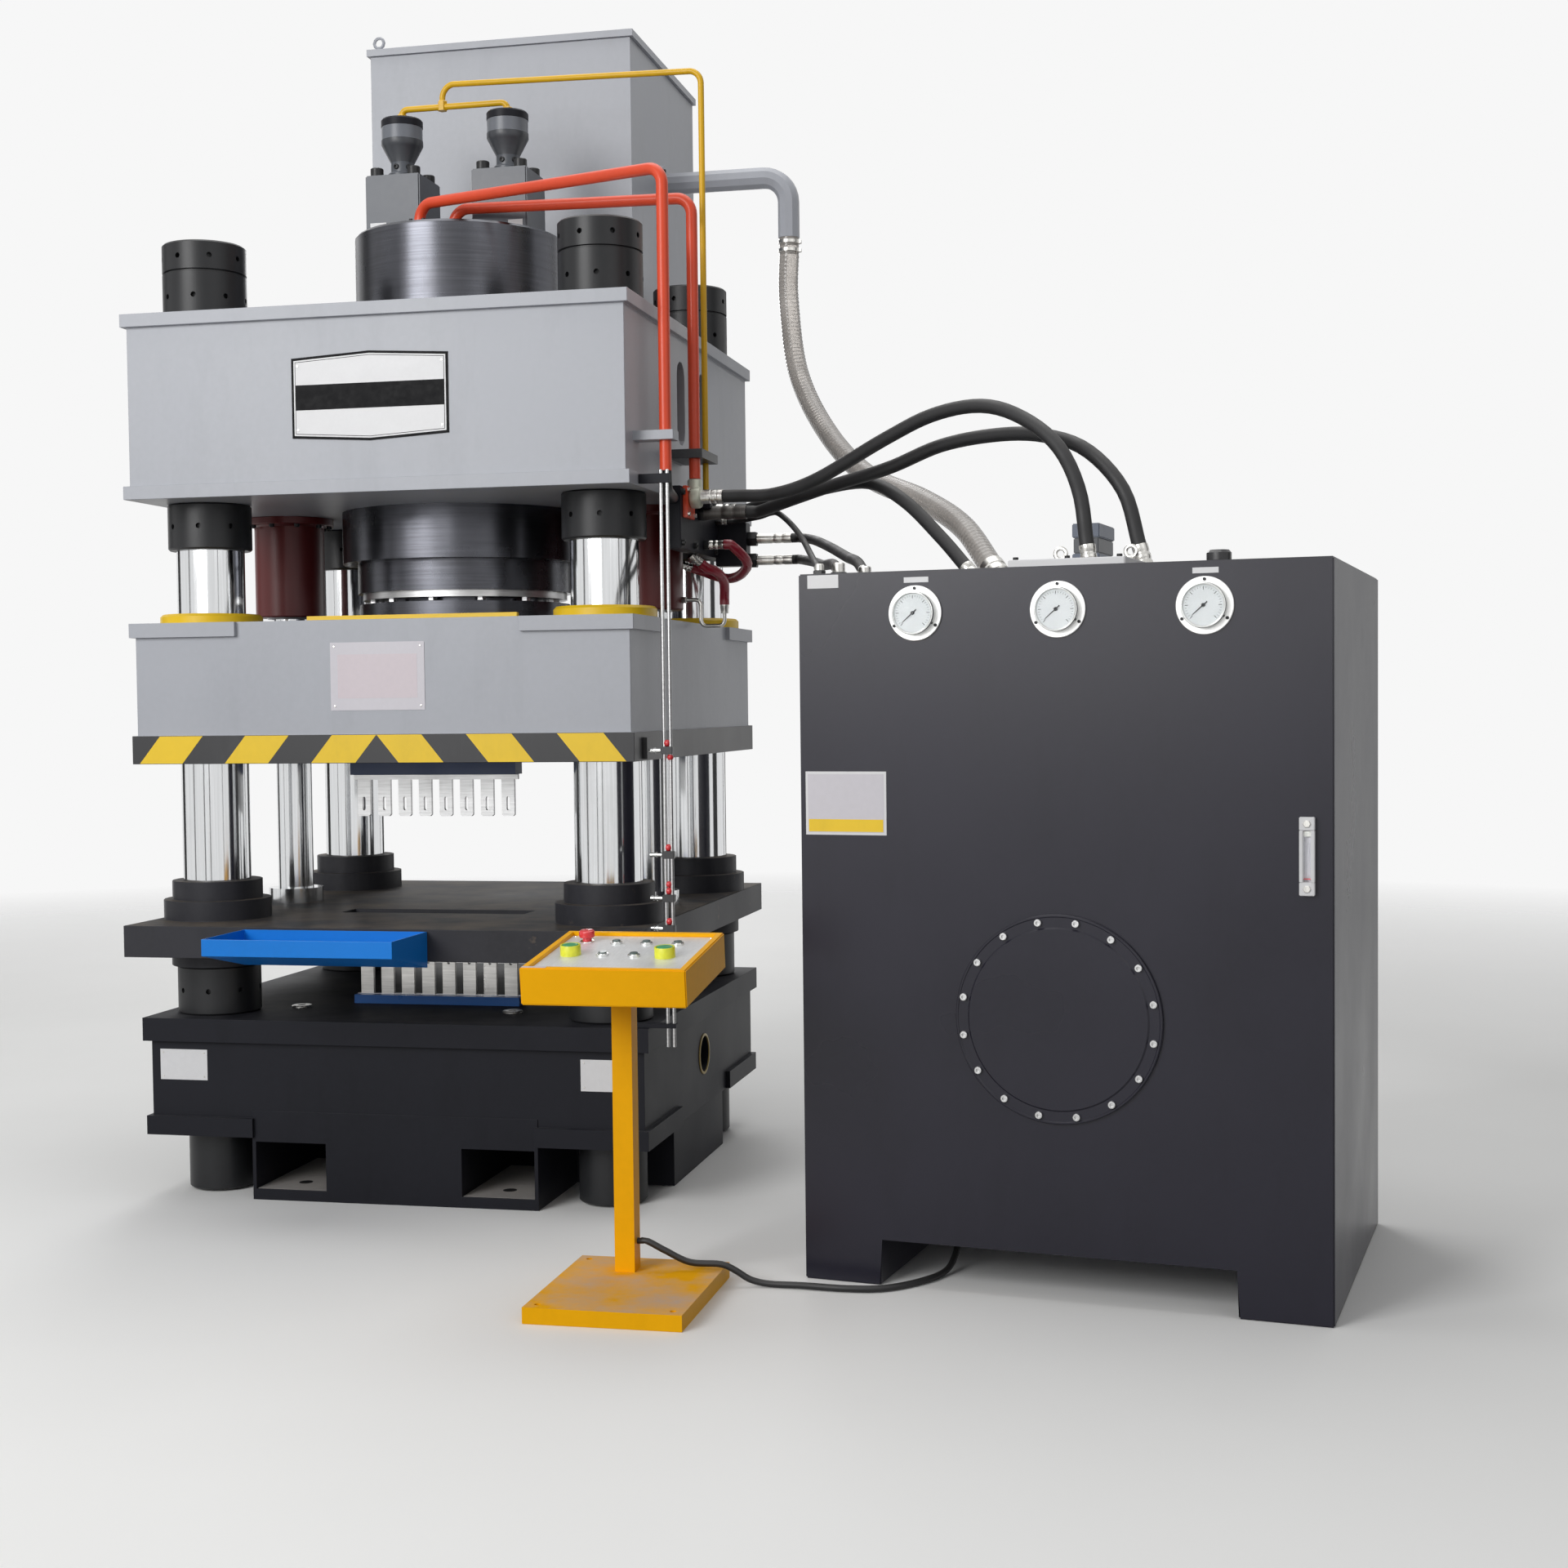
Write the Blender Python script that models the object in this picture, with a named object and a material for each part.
"""Four-column hydraulic press with its power unit, hoses and operator pedestal.

Metres, +Z up. The origin is on the floor under the middle of the press base,
+X runs to the right along the front, and the front faces -Y.
"""
import math

import bpy
import bmesh
from mathutils import Matrix, Vector

# General clearances
SEAT_GAP = 0.0003
RUNNING_GAP = 0.0005
ROUND_SEGMENTS = 24
BIG_SEGMENTS = 36
SMALL_SEGMENTS = 12
TINY_SEGMENTS = 8
SHARP_ANGLE = math.radians(35)

# Columns and their nuts
COLUMN_X = 0.605
COLUMN_Y = 0.500
COLUMN_RADIUS = 0.0975
COLUMN_FLOOR_CLEARANCE = 0.012
COLUMN_END_RECESS = 0.014
NUT_RADIUS = 0.120
NUT_CHAMFER = 0.006
TOP_NUT_HEIGHT = 0.228
TOP_NUT_GROOVE_WIDTH = 0.004
TOP_NUT_GROOVE_DEPTH = 0.004
TOP_NUT_LOWER_SHARE = 0.62
TOMMY_HOLE_RADIUS = 0.008
TOMMY_HOLE_DEPTH = 0.020
TOMMY_HOLE_COUNT = 6
TOMMY_HOLE_SIDES = 4
CROWN_NUT_HEIGHT = 0.134
STOP_NUT_HEIGHT = 0.141

# Base
BASE_HEIGHT = 0.5235
BASE_FLANGE_HALF_X = 0.763
BASE_FLANGE_HALF_Y = 0.675
BASE_FLANGE_THICK = 0.0675
BASE_BODY_HALF_X = 0.745
BASE_BODY_HALF_Y = 0.655
BASE_SKIRT_BOTTOM = 0.181
LEDGE_THICK = 0.055
LEDGE_PROUD = 0.014
FOOT_BLOCK_HALF_X = 0.433
FOOT_BLOCK_HALF_Y = 0.658
SIDE_FOOT_HALF_Y = 0.300
POCKET_INNER_X = 0.206
POCKET_WIDTH = 0.216
POCKET_FLOOR = 0.031
POCKET_HEIGHT = 0.137
ANCHOR_HOLE_RADIUS = 0.016
ANCHOR_HOLE_INSET = 0.085
CAVITY_HALF_X = 0.175
CAVITY_HALF_Y = 0.420
CAVITY_FLOOR = 0.050
CAVITY_HEIGHT = 0.360
ACCESS_HOLE_RADIUS = 0.055
ACCESS_HOLE_Y = 0.012
ACCESS_HOLE_Z = 0.340

# Middle plate
PLATE_HALF_X = 0.762
PLATE_HALF_Y = 0.770
PLATE_THICK = 0.090
PLATE_SKIRT_HEIGHT = 0.047
PLATE_SKIRT_RADIUS = 0.135
COLLAR_LOW_RADIUS = 0.155
COLLAR_LOW_HEIGHT = 0.058
COLLAR_TOP_RADIUS = 0.130
COLLAR_TOP_HEIGHT = 0.055
WINDOW_HALF_X = 0.290
WINDOW_HALF_Y = 0.055
PLATE_LIFT = 0.060

# Slide
DAYLIGHT = 0.460
SLIDE_HEIGHT = 0.403
SLIDE_HALF_X = 0.737
SLIDE_HALF_Y = 0.709
SLIDE_BAND_HEIGHT = 0.081
SLIDE_BAND_PROUD = 0.0115
CORNER_PLATE_THICK = 0.041
CORNER_PLATE_LENGTH = 0.328
CORNER_PLATE_PROUD = 0.014
GUIDE_COVER_RADIUS = 0.147
GUIDE_COVER_HEIGHT = 0.030
FLAG_WIDTH = 0.030
FLAG_HEIGHT = 0.060
FLAG_REACH = 0.012

# Main cylinder, gland and ram
RAM_RADIUS = 0.250
RAM_FLANGE_RADIUS = 0.325
RAM_FLANGE_THICK = 0.068
RAM_TO_BOLT_GAP = 0.003
GLAND_BOLT_HEIGHT = 0.010
GLAND_BOLT_RADIUS = 0.014
GLAND_BOLT_COUNT = 12
GLAND_THICK = 0.020
GLAND_RADIUS = 0.315
CYLINDER_NOSE_RADIUS = 0.330
CYLINDER_NOSE_HEIGHT = 0.092
CYLINDER_SHOULDER_RADIUS = 0.375
CYLINDER_SHOULDER_HEIGHT = 0.158
DRUM_RADIUS = 0.320
DRUM_HEIGHT = 0.318
DRUM_CHAMFER = 0.008
CYLINDER_END_THICK = 0.120
RAM_TOP_GAP = 0.030

# Side cylinders that lift the middle plate
SIDE_CYLINDER_X = 0.590
SIDE_CYLINDER_RADIUS = 0.108
SIDE_CYLINDER_FLANGE_RADIUS = 0.138
SIDE_CYLINDER_FLANGE_THICK = 0.022
SIDE_CYLINDER_LENGTH = 0.316
SIDE_CYLINDER_END_THICK = 0.050
SIDE_ROD_RADIUS = 0.055
SIDE_ROD_CLEARANCE = 0.004
SIDE_ROD_FOOT_RADIUS = 0.085
SIDE_ROD_FOOT_THICK = 0.045

# Crown
CROWN_HEIGHT = 0.525
CROWN_HALF_X = 0.750
CROWN_HALF_Y = 0.737
CROWN_WALL_INSET = 0.014
CROWN_TOP_THICK = 0.037
CROWN_BOTTOM_THICK = 0.038
CROWN_WALL_THICK = 0.030
CROWN_PLATE_THICK = 0.050
CROWN_RIB_HALF = 0.018
COLUMN_TUBE_RADIUS = 0.150
CYLINDER_TUBE_RADIUS = 0.370
SLOT_HALF_WIDTH = 0.045
SLOT_HALF_HEIGHT = 0.125
SLOT_Y = 0.127
SLOT_LIFT = 0.296

# Tooling with slotted fingers
TOOL_Y = -0.280
FINGER_COUNT = 8
FINGER_PITCH = 0.0655
FINGER_WIDTH = 0.040
FINGER_THICK = 0.012
FINGER_TIP_CHAMFER = 0.005
FINGER_LENGTH = 0.110
FINGER_SLOT_RADIUS = 0.005
FINGER_SLOT_HALF = 0.016
FINGER_SLOT_LIFT = 0.038
TOOL_BAR_HALF_X = 0.262
TOOL_BAR_HALF_Y = 0.030
UPPER_BAR_HEIGHT = 0.062
LOWER_BAR_HEIGHT = 0.028
LOWER_FINGER_LENGTH = 0.150
EJECTOR_ROD_X = 0.145
EJECTOR_ROD_RADIUS = 0.020
EJECTOR_ROD_LENGTH = 0.235
EJECTOR_HEAD_THICK = 0.026
EJECTOR_HEAD_HALF_Y = 0.032
EJECTOR_LIFT = 0.100

# Front tray
TRAY_LEFT_X = -0.390
TRAY_RIGHT_X = 0.160
TRAY_DEPTH = 0.250
TRAY_FRONT_HEIGHT = 0.046
TRAY_BACK_HEIGHT = 0.100
TRAY_DROP = 0.006
TRAY_SHEET = 0.004

# Oil tank on the crown
TANK_HALF_X = 0.447
TANK_FRONT_Y = 0.384
TANK_DEPTH = 0.800
TANK_HEIGHT = 1.030
TANK_WALL = 0.010
TANK_LID_THICK = 0.022
TANK_LID_PROUD = 0.010
TANK_BRACKET_X = 0.330
TANK_BRACKET_THICK = 0.020
TANK_BRACKET_REACH = 0.330
TANK_BRACKET_DROP = 0.280
TANK_BRACKET_EDGE = 0.030
EYE_INSET = 0.022
EYE_RADIUS = 0.017
EYE_WIRE = 0.0055

# Prefill valves on the cylinder head
VALVE_X = 0.172
VALVE_Y = -0.030
VALVE_BLOCK_HALF = 0.088
VALVE_BLOCK_HEIGHT = 0.190
VALVE_NECK_RADIUS = 0.036
VALVE_NECK_HEIGHT = 0.055
VALVE_CUP_RADIUS = 0.064
VALVE_CONE_HEIGHT = 0.050
VALVE_CUP_HEIGHT = 0.080
VALVE_SCREW_RADIUS = 0.020
VALVE_SCREW_HEIGHT = 0.026

# Rigid pipes
PRESSURE_PIPE_RADIUS = 0.0165
PRESSURE_BEND = 0.050
PILOT_PIPE_RADIUS = 0.009
PILOT_BAR_RADIUS = 0.0102
PILOT_BEND = 0.040
SUCTION_PIPE_RADIUS = 0.036
SUCTION_BEND = 0.085
PIPE_PLANE_X = 0.820
FRONT_PIPE_END_X = 0.773
FRONT_PIPE_END_GAP = 0.004
FRONT_PIPE_Y = -0.620
REAR_PIPE_Y = -0.300
PILOT_PIPE_Y = -0.170
FRONT_PIPE_START = (-0.050, -0.205)
REAR_PIPE_START = (0.040, -0.160)
FRONT_PIPE_RISE = 0.070
REAR_PIPE_RISE = 0.060
PIPE_RUN_FALL = 0.045
PILOT_BAR_LIFT = 0.032
PILOT_RISER_X = -0.038
PILOT_RISER_HEIGHT = 0.068
PILOT_RUN_FALL = 0.060
TANK_PORT_Y = 0.757
TANK_PORT_DROP = 0.385
SUCTION_FLANGE_RADIUS = 0.062
SUCTION_FLANGE_THICK = 0.014
SUCTION_ELBOW_X = 0.886
SUCTION_DROP = 0.205
CLAMP_LIFT = 0.108
CLAMP_THICK = 0.026
CLAMP_EDGE = 0.030
CLAMP_CLEARANCE = 0.0010

# Manifold on the right side of the crown
MANIFOLD_REACH = 0.044
MANIFOLD_FRONT_Y = -0.370
MANIFOLD_BACK_Y = 0.160
MANIFOLD_TOP_LIFT = 0.028
MANIFOLD_HEIGHT = 0.180
PILOT_BOSS_HALF = 0.016
PILOT_BOSS_HEIGHT = 0.050
PORT_FLANGE_THICK = 0.0135
PORT_FLANGE_HALF_Y = 0.045
PORT_FLANGE_HEIGHT = 0.092
UNION_RADIUS = 0.033
UNION_LENGTH = 0.032
UNION_NECK_RADIUS = 0.022
UNION_NECK_HEIGHT = 0.024
SLEEVE_RADIUS = 0.0205
SMALL_SLEEVE_RADIUS = 0.0150
SIDE_BLOCK_REACH = 0.090
SIDE_BLOCK_HALF_Y = 0.030
SIDE_BLOCK_DROP = 0.072
SIDE_BLOCK_HEIGHT = 0.133
SIDE_BLOCK_Y = 0.100
UPPER_PORT_DROP = 0.0285
MIDDLE_PORT_DROP = 0.062
LOWER_PORT_DROP = 0.041
THIN_PORT_DROP = 0.070
SIDE_UPPER_PORT_DROP = 0.122
SIDE_LOWER_PORT_DROP = 0.188
LIFT_UPPER_PORT_DROP = 0.152
LIFT_LOWER_PORT_DROP = 0.207
LIFT_SLEEVE_RADIUS = 0.0135
LIFT_SLEEVE_LENGTH = 0.040
THIN_SLEEVE_RADIUS = 0.01105
SLEEVE_SINK = 0.006
HEX_RADIUS = 0.024
HEX_LENGTH = 0.028
LIFT_TUBE_RADIUS = 0.006
LIFT_TUBE_LIFT = 0.0343
LIFT_TUBE_DIP = 0.0457
LIFT_TUBE_END_LIFT = 0.0173
LIFT_TUBE_START_X = 0.690
LIFT_TUBE_MIDDLE_X = 0.757
LIFT_TUBE_END_X = 0.831
LIFT_TUBE_BEND = 0.018
LIFT_PORT_LIFT = 0.1393
LIFT_PORT_LENGTH = 0.045

# Sensor rods beside the slide
SENSOR_ROD_RADIUS = 0.005
SENSOR_ROD_SPACING = 0.018
SENSOR_LIFTS = (0.0289, -0.2591, -0.3791, -0.4631)
SENSOR_BODY_RADIUS = 0.008
SENSOR_CLAMP_HALF = (0.018, 0.011, 0.011)
SENSOR_ROD_X = 0.812
SENSOR_ROD_Y = -0.645
SENSOR_ROD_OVERLAP = 0.0535
SENSOR_ROD_RISE = 0.043
SENSOR_TIP_X = 0.768
SENSOR_FOOT_THICK = 0.012
SENSOR_FOOT_INNER_X = 0.700
SENSOR_BRACKET_HALF = 0.007
SENSOR_BRACKET_LIFT = 0.006
SENSOR_BRACKET_THICK = 0.026
SENSOR_KNOB_X = 0.787
SENSOR_KNOB_RADIUS = 0.0055
SENSOR_KNOB_HEIGHT = 0.030

# Power unit
UNIT_CORNER = (1.307, -1.198)
UNIT_TURN = math.radians(-9.2)
UNIT_WIDTH = 1.270
UNIT_DEPTH = 1.000
UNIT_HEIGHT = 1.730
UNIT_NOTCH_LEFT = 0.196
UNIT_NOTCH_RIGHT = 1.056
UNIT_NOTCH_HEIGHT = 0.115
GAUGE_X = (0.298, 0.645, 0.985)
GAUGE_DROP = 0.102
GAUGE_FLANGE_RADIUS = 0.066
GAUGE_BODY_RADIUS = 0.052
GAUGE_FLANGE_THICK = 0.006
GAUGE_BODY_DEPTH = 0.022
MANHOLE_X = 0.640
MANHOLE_Z = 0.670
MANHOLE_RADIUS = 0.247
MANHOLE_THICK = 0.012
MANHOLE_BOLT_COUNT = 16
MANHOLE_BOLT_RADIUS = 0.009
MANHOLE_BOLT_INSET = 0.016
LEVEL_X = 1.212
LEVEL_Z = 1.0625
LEVEL_HALF_WIDTH = 0.017
LEVEL_HALF_HEIGHT = 0.088
LEVEL_DEPTH = 0.022
DOME_X = 0.962
DOME_Y = 0.330
DOME_RADIUS = 0.030
DOME_HEIGHT = 0.046
UNIT_WALL = 0.010
MANHOLE_OPENING = 0.205
GAUGE_BACK = 0.035
TOP_PLATE_LEFT = 0.490
TOP_PLATE_RIGHT = 0.775
TOP_PLATE_FRONT = 0.130
TOP_PLATE_DEPTH = 0.620
TOP_PLATE_THICK = 0.025
VALVE_BLOCK_LEFT = 0.552
VALVE_BLOCK_WIDTH = 0.072
VALVE_BLOCK_FRONT = 0.535
VALVE_BLOCK_DEPTH = 0.180
VALVE_BLOCK_TALL = 0.115
EYE_BOLT_X = (0.572, 0.748)
EYE_BOLT_Y = 0.330
PORT_DEPTH = 0.008
TALL_PORT_LIFT = 0.070
LOWER_HOSE_PORT_LIFT = 0.046
SIDE_UPPER_HOSE_PORT_LIFT = 0.026
SIDE_LOWER_HOSE_PORT_LIFT = 0.022
THIN_HOSE_PORT_LIFT = 0.020
SUCTION_PORT_LIFT = 0.060
SUCTION_SLEEVE_RADIUS = 0.03672

# Operator pedestal
PEDESTAL_PLATE_X = 0.930
PEDESTAL_PLATE_Y = -1.453
PEDESTAL_PLATE_WIDTH = 0.380
PEDESTAL_PLATE_DEPTH = 0.460
PEDESTAL_PLATE_THICK = 0.038
POST_X = 0.890
POST_Y = -1.330
POST_SIDE = 0.050
CONSOLE_X = 0.944
CONSOLE_Y = -1.502
CONSOLE_Z = 0.844
CONSOLE_WIDTH = 0.392
CONSOLE_DEPTH = 0.373
CONSOLE_HEIGHT = 0.088
CONSOLE_TILT = 0.120
CONSOLE_RIM = 0.016
PANEL_RECESS = 0.010
PALM_PLACES = ((-0.125, -0.022), (0.106, -0.030))
PALM_RADIUS = 0.0190
PALM_GUARD_RADIUS = 0.0240
PALM_GUARD_WALL = 0.0040
PALM_GUARD_HEIGHT = 0.026
PALM_CAP_HEIGHT = 0.027
PALM_TRAVEL = 0.006
ESTOP_PLACE = (-0.126, 0.112)
ESTOP_RADIUS = 0.0190
ESTOP_STEM_RADIUS = 0.0110
ESTOP_STEM_HEIGHT = 0.012
ESTOP_CAP_HEIGHT = 0.018
ESTOP_TRAVEL = 0.005
PUSH_PLACES = ((-0.047, 0.093), (0.028, 0.091), (0.106, 0.089), (-0.046, -0.027), (0.031, -0.029))
PUSH_RADIUS = 0.0100
PUSH_BEZEL_RADIUS = 0.0145
PUSH_BEZEL_HEIGHT = 0.007
PUSH_CAP_HEIGHT = 0.011
PUSH_TRAVEL = 0.004
BUTTON_BORE_DEPTH = 0.022

# Hoses: centre lines chosen by hand, from the press to the power unit
HOSE_RADIUS = 0.0185
MEDIUM_HOSE_RADIUS = 0.0145
THIN_HOSE_RADIUS = 0.0085
SUCTION_HOSE_RADIUS = 0.034
SIDE_HOSE_RADIUS = 0.015
CABLE_RADIUS = 0.008
HOSE_POINTS = 2.6
HOSE_STRAIGHT_END = 0.012
HOSE_UPPER = ((0.905, -0.300, 2.0165), (0.950, -0.300, 2.0165), (1.060, -0.338, 2.014), (1.206, -0.438, 2.041),
              (1.428, -0.591, 2.128), (1.571, -0.689, 2.173), (1.708, -0.783, 2.178), (1.818, -0.859, 2.135),
              (1.915, -0.926, 2.051), (1.970, -0.964, 1.936), (1.990, -0.977, 1.800))
HOSE_MIDDLE = ((0.940, -0.152, 1.983), (0.975, -0.152, 1.983), (1.090, -0.236, 2.006), (1.229, -0.338, 2.032),
               (1.415, -0.458, 2.064), (1.573, -0.560, 2.107), (1.732, -0.662, 2.117), (1.863, -0.747, 2.101),
               (1.979, -0.822, 2.051), (2.074, -0.883, 1.941), (2.115, -0.910, 1.800))
HOSE_LOWER = ((0.872, 0.000, 2.004), (0.905, 0.000, 2.004), (1.030, -0.095, 2.024), (1.160, -0.200, 2.036),
              (1.331, -0.330, 2.039), (1.454, -0.450, 1.973), (1.569, -0.550, 1.862), (1.646, -0.620, 1.776))
PORT_HOSE_UPPER = ((1.022, 0.100, 1.923), (1.045, 0.100, 1.923), (1.115, -0.020, 1.905), (1.209, -0.250, 1.864),
                   (1.305, -0.520, 1.817), (1.372, -0.740, 1.788), (1.412, -0.880, 1.756))
PORT_HOSE_LOWER = ((1.025, 0.100, 1.857), (1.045, 0.100, 1.857), (1.130, -0.100, 1.834), (1.220, -0.420, 1.803),
                   (1.310, -0.760, 1.782), (1.372, -1.020, 1.752))
THIN_HOSE = ((0.830, 0.052, 1.975), (0.855, 0.052, 1.975), (0.935, 0.030, 1.984), (0.980, -0.015, 1.990),
             (1.016, -0.070, 1.984), (1.084, -0.220, 1.940), (1.163, -0.440, 1.879), (1.243, -0.720, 1.813),
             (1.310, -0.990, 1.768), (1.340, -1.110, 1.750))
SUCTION_HOSE = ((0.886, 0.757, 2.930), (0.882, 0.763, 2.775), (0.926, 0.700, 2.520), (1.055, 0.520, 2.297),
                (1.229, 0.270, 2.125), (1.448, -0.040, 2.012), (1.591, -0.240, 1.914), (1.687, -0.380, 1.790))
LIFT_HOSE_LOWER = ((0.831, 0.000, 1.7185), (0.831, 0.000, 1.740), (0.838, -0.035, 1.788), (0.826, -0.080, 1.814),
                   (0.800, -0.108, 1.826), (0.788, -0.118, 1.838))
LIFT_HOSE_UPPER = ((0.857, -0.100, 1.893), (0.875, -0.100, 1.893), (0.912, -0.040, 1.845), (0.884, 0.020, 1.815),
                   (0.836, 0.080, 1.803), (0.785, 0.125, 1.810), (0.735, 0.125, 1.828), (0.7025, 0.0977, 1.840))
CABLE_ROUTE = ((0.9165, -1.330, 0.110), (0.940, -1.330, 0.110), (0.985, -1.328, 0.088), (1.045, -1.320, 0.060),
               (1.120, -1.311, 0.056), (1.155, -1.306, 0.041), (1.190, -1.300, 0.019), (1.235, -1.296, 0.0095),
               (1.320, -1.297, 0.0095), (1.430, -1.305, 0.0095), (1.520, -1.285, 0.0095), (1.600, -1.205, 0.0095),
               (1.645, -1.110, 0.0120), (1.660, -1.035, 0.0400), (1.662, -1.010, 0.080), (1.662, -1.010, 0.1147))

# Heights that follow from the stack
PLATE_BOTTOM = BASE_HEIGHT + SEAT_GAP + STOP_NUT_HEIGHT + SEAT_GAP + PLATE_SKIRT_HEIGHT
PLATE_TOP = PLATE_BOTTOM + PLATE_THICK
SLIDE_BOTTOM = PLATE_TOP + DAYLIGHT
SLIDE_TOP = SLIDE_BOTTOM + SLIDE_HEIGHT
RAM_FLANGE_TOP = SLIDE_TOP + SEAT_GAP + RAM_FLANGE_THICK
GLAND_BOTTOM = RAM_FLANGE_TOP + RAM_TO_BOLT_GAP + GLAND_BOLT_HEIGHT
NOSE_BOTTOM = GLAND_BOTTOM + GLAND_THICK + SEAT_GAP
SHOULDER_BOTTOM = NOSE_BOTTOM + CYLINDER_NOSE_HEIGHT
CROWN_BOTTOM = SHOULDER_BOTTOM + CYLINDER_SHOULDER_HEIGHT + SEAT_GAP
CROWN_TOP = CROWN_BOTTOM + CROWN_HEIGHT
DRUM_TOP = CROWN_TOP + DRUM_HEIGHT
MANIFOLD_TOP = CROWN_BOTTOM + MANIFOLD_TOP_LIFT
SIDE_CYLINDER_LOW = CROWN_BOTTOM - SEAT_GAP - SIDE_CYLINDER_LENGTH
MANIFOLD_FACE_X = CROWN_HALF_X + SEAT_GAP + MANIFOLD_REACH
TANK_TOP = CROWN_TOP + SEAT_GAP + TANK_HEIGHT
VALVE_BLOCK_TOP = DRUM_TOP + SEAT_GAP + VALVE_BLOCK_HEIGHT
VALVE_CUP_TOP = VALVE_BLOCK_TOP + VALVE_NECK_HEIGHT + VALVE_CONE_HEIGHT + VALVE_CUP_HEIGHT
BAR_SEAT_Z = BASE_HEIGHT + SEAT_GAP
SENSOR_HEIGHTS = tuple(SLIDE_BOTTOM + lift for lift in SENSOR_LIFTS)
GAUGE_Z = UNIT_HEIGHT - GAUGE_DROP


def clear_scene():
    """Remove whatever the file holds."""
    for obj in list(bpy.data.objects):
        bpy.data.objects.remove(obj, do_unlink=True)


def paint(name, colour, roughness, metallic=0.0):
    """One plain Principled material."""
    material = bpy.data.materials.new(name)
    material.use_nodes = True
    shader = material.node_tree.nodes["Principled BSDF"]
    shader.inputs["Base Color"].default_value = (*colour, 1.0)
    shader.inputs["Roughness"].default_value = roughness
    shader.inputs["Metallic"].default_value = metallic
    return material


def make_materials():
    """The finishes that the pieces share."""
    return {
        "grey_paint": paint("grey_paint", (0.42, 0.44, 0.49), 0.45),
        "dark_paint": paint("dark_paint", (0.045, 0.048, 0.056), 0.5),
        "navy_paint": paint("navy_paint", (0.050, 0.050, 0.070), 0.35),
        "black_steel": paint("black_steel", (0.06, 0.062, 0.066), 0.42, 0.6),
        "chrome": paint("chrome", (0.78, 0.79, 0.80), 0.12, 1.0),
        "maroon_paint": paint("maroon_paint", (0.16, 0.03, 0.03), 0.4),
        "yellow_paint": paint("yellow_paint", (0.85, 0.62, 0.05), 0.4),
        "orange_paint": paint("orange_paint", (0.85, 0.40, 0.02), 0.4),
        "red_paint": paint("red_paint", (0.80, 0.10, 0.04), 0.4),
        "blue_paint": paint("blue_paint", (0.02, 0.16, 0.55), 0.4),
        "steel": paint("steel", (0.55, 0.56, 0.57), 0.35, 0.9),
        "zinc": paint("zinc", (0.50, 0.51, 0.52), 0.45, 0.7),
        "rubber": paint("rubber", (0.02, 0.02, 0.02), 0.6),
        "clear_hose": paint("clear_hose", (0.75, 0.73, 0.70), 0.2),
        "red_hose": paint("red_hose", (0.30, 0.02, 0.04), 0.4),
        "red_plastic": paint("red_plastic", (0.75, 0.05, 0.05), 0.35),
        "green_plastic": paint("green_plastic", (0.05, 0.45, 0.25), 0.4),
        "lever_green": paint("lever_green", (0.08, 0.40, 0.30), 0.4),
        "gauge_white": paint("gauge_white", (0.75, 0.75, 0.74), 0.3),
    }


def finish_mesh(name, bm, material, parent=None):
    """Turn a bmesh into a named object with outward faces and smooth rounds."""
    bmesh.ops.remove_doubles(bm, verts=bm.verts, dist=1e-6)
    bmesh.ops.recalc_face_normals(bm, faces=bm.faces)
    mesh = bpy.data.meshes.new(name)
    bm.to_mesh(mesh)
    bm.free()
    mesh.shade_smooth()
    mesh.set_sharp_from_angle(angle=SHARP_ANGLE)
    obj = bpy.data.objects.new(name, mesh)
    bpy.context.scene.collection.objects.link(obj)
    obj.parent = parent
    if material is not None:
        obj.data.materials.append(material)
    return obj


def add_box(bm, low, high):
    """A box between two corners."""
    size = [high[i] - low[i] for i in range(3)]
    middle = [(high[i] + low[i]) / 2 for i in range(3)]
    matrix = Matrix.Translation(middle) @ Matrix.Diagonal((*size, 1.0))
    bmesh.ops.create_cube(bm, size=1.0, matrix=matrix)


def add_turned(bm, profile, matrix=None, segments=ROUND_SEGMENTS, hollow=False):
    """Turn a profile of (radius, height) about Z; a hollow one closes on itself."""
    matrix = matrix or Matrix.Identity(4)
    rings = []
    for radius, height in profile:
        if radius < 1e-9:
            rings.append([bm.verts.new(matrix @ Vector((0, 0, height)))])
            continue
        ring = []
        for step in range(segments):
            angle = 2 * math.pi * step / segments
            point = Vector((radius * math.cos(angle), radius * math.sin(angle), height))
            ring.append(bm.verts.new(matrix @ point))
        rings.append(ring)
    pairs = list(zip(rings, rings[1:]))
    if hollow:
        pairs.append((rings[-1], rings[0]))
    for lower, upper in pairs:
        if len(lower) + len(upper) > 2:
            bridge_rings(bm, lower, upper, segments)
    if not hollow:
        for ring in (rings[0], rings[-1]):
            if len(ring) > 1:
                bm.faces.new(ring)


def bridge_rings(bm, lower, upper, segments):
    """Join two rings of one turned form, either of which may be a single point."""
    for step in range(segments):
        following = (step + 1) % segments
        if len(lower) == 1:
            bm.faces.new((lower[0], upper[step], upper[following]))
        elif len(upper) == 1:
            bm.faces.new((lower[step], lower[following], upper[0]))
        else:
            bm.faces.new((lower[step], lower[following], upper[following], upper[step]))


def add_cylinder(bm, radius, low, high, matrix=None, segments=ROUND_SEGMENTS):
    """A plain round bar along Z."""
    add_turned(bm, [(radius, low), (radius, high)], matrix, segments)


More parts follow.
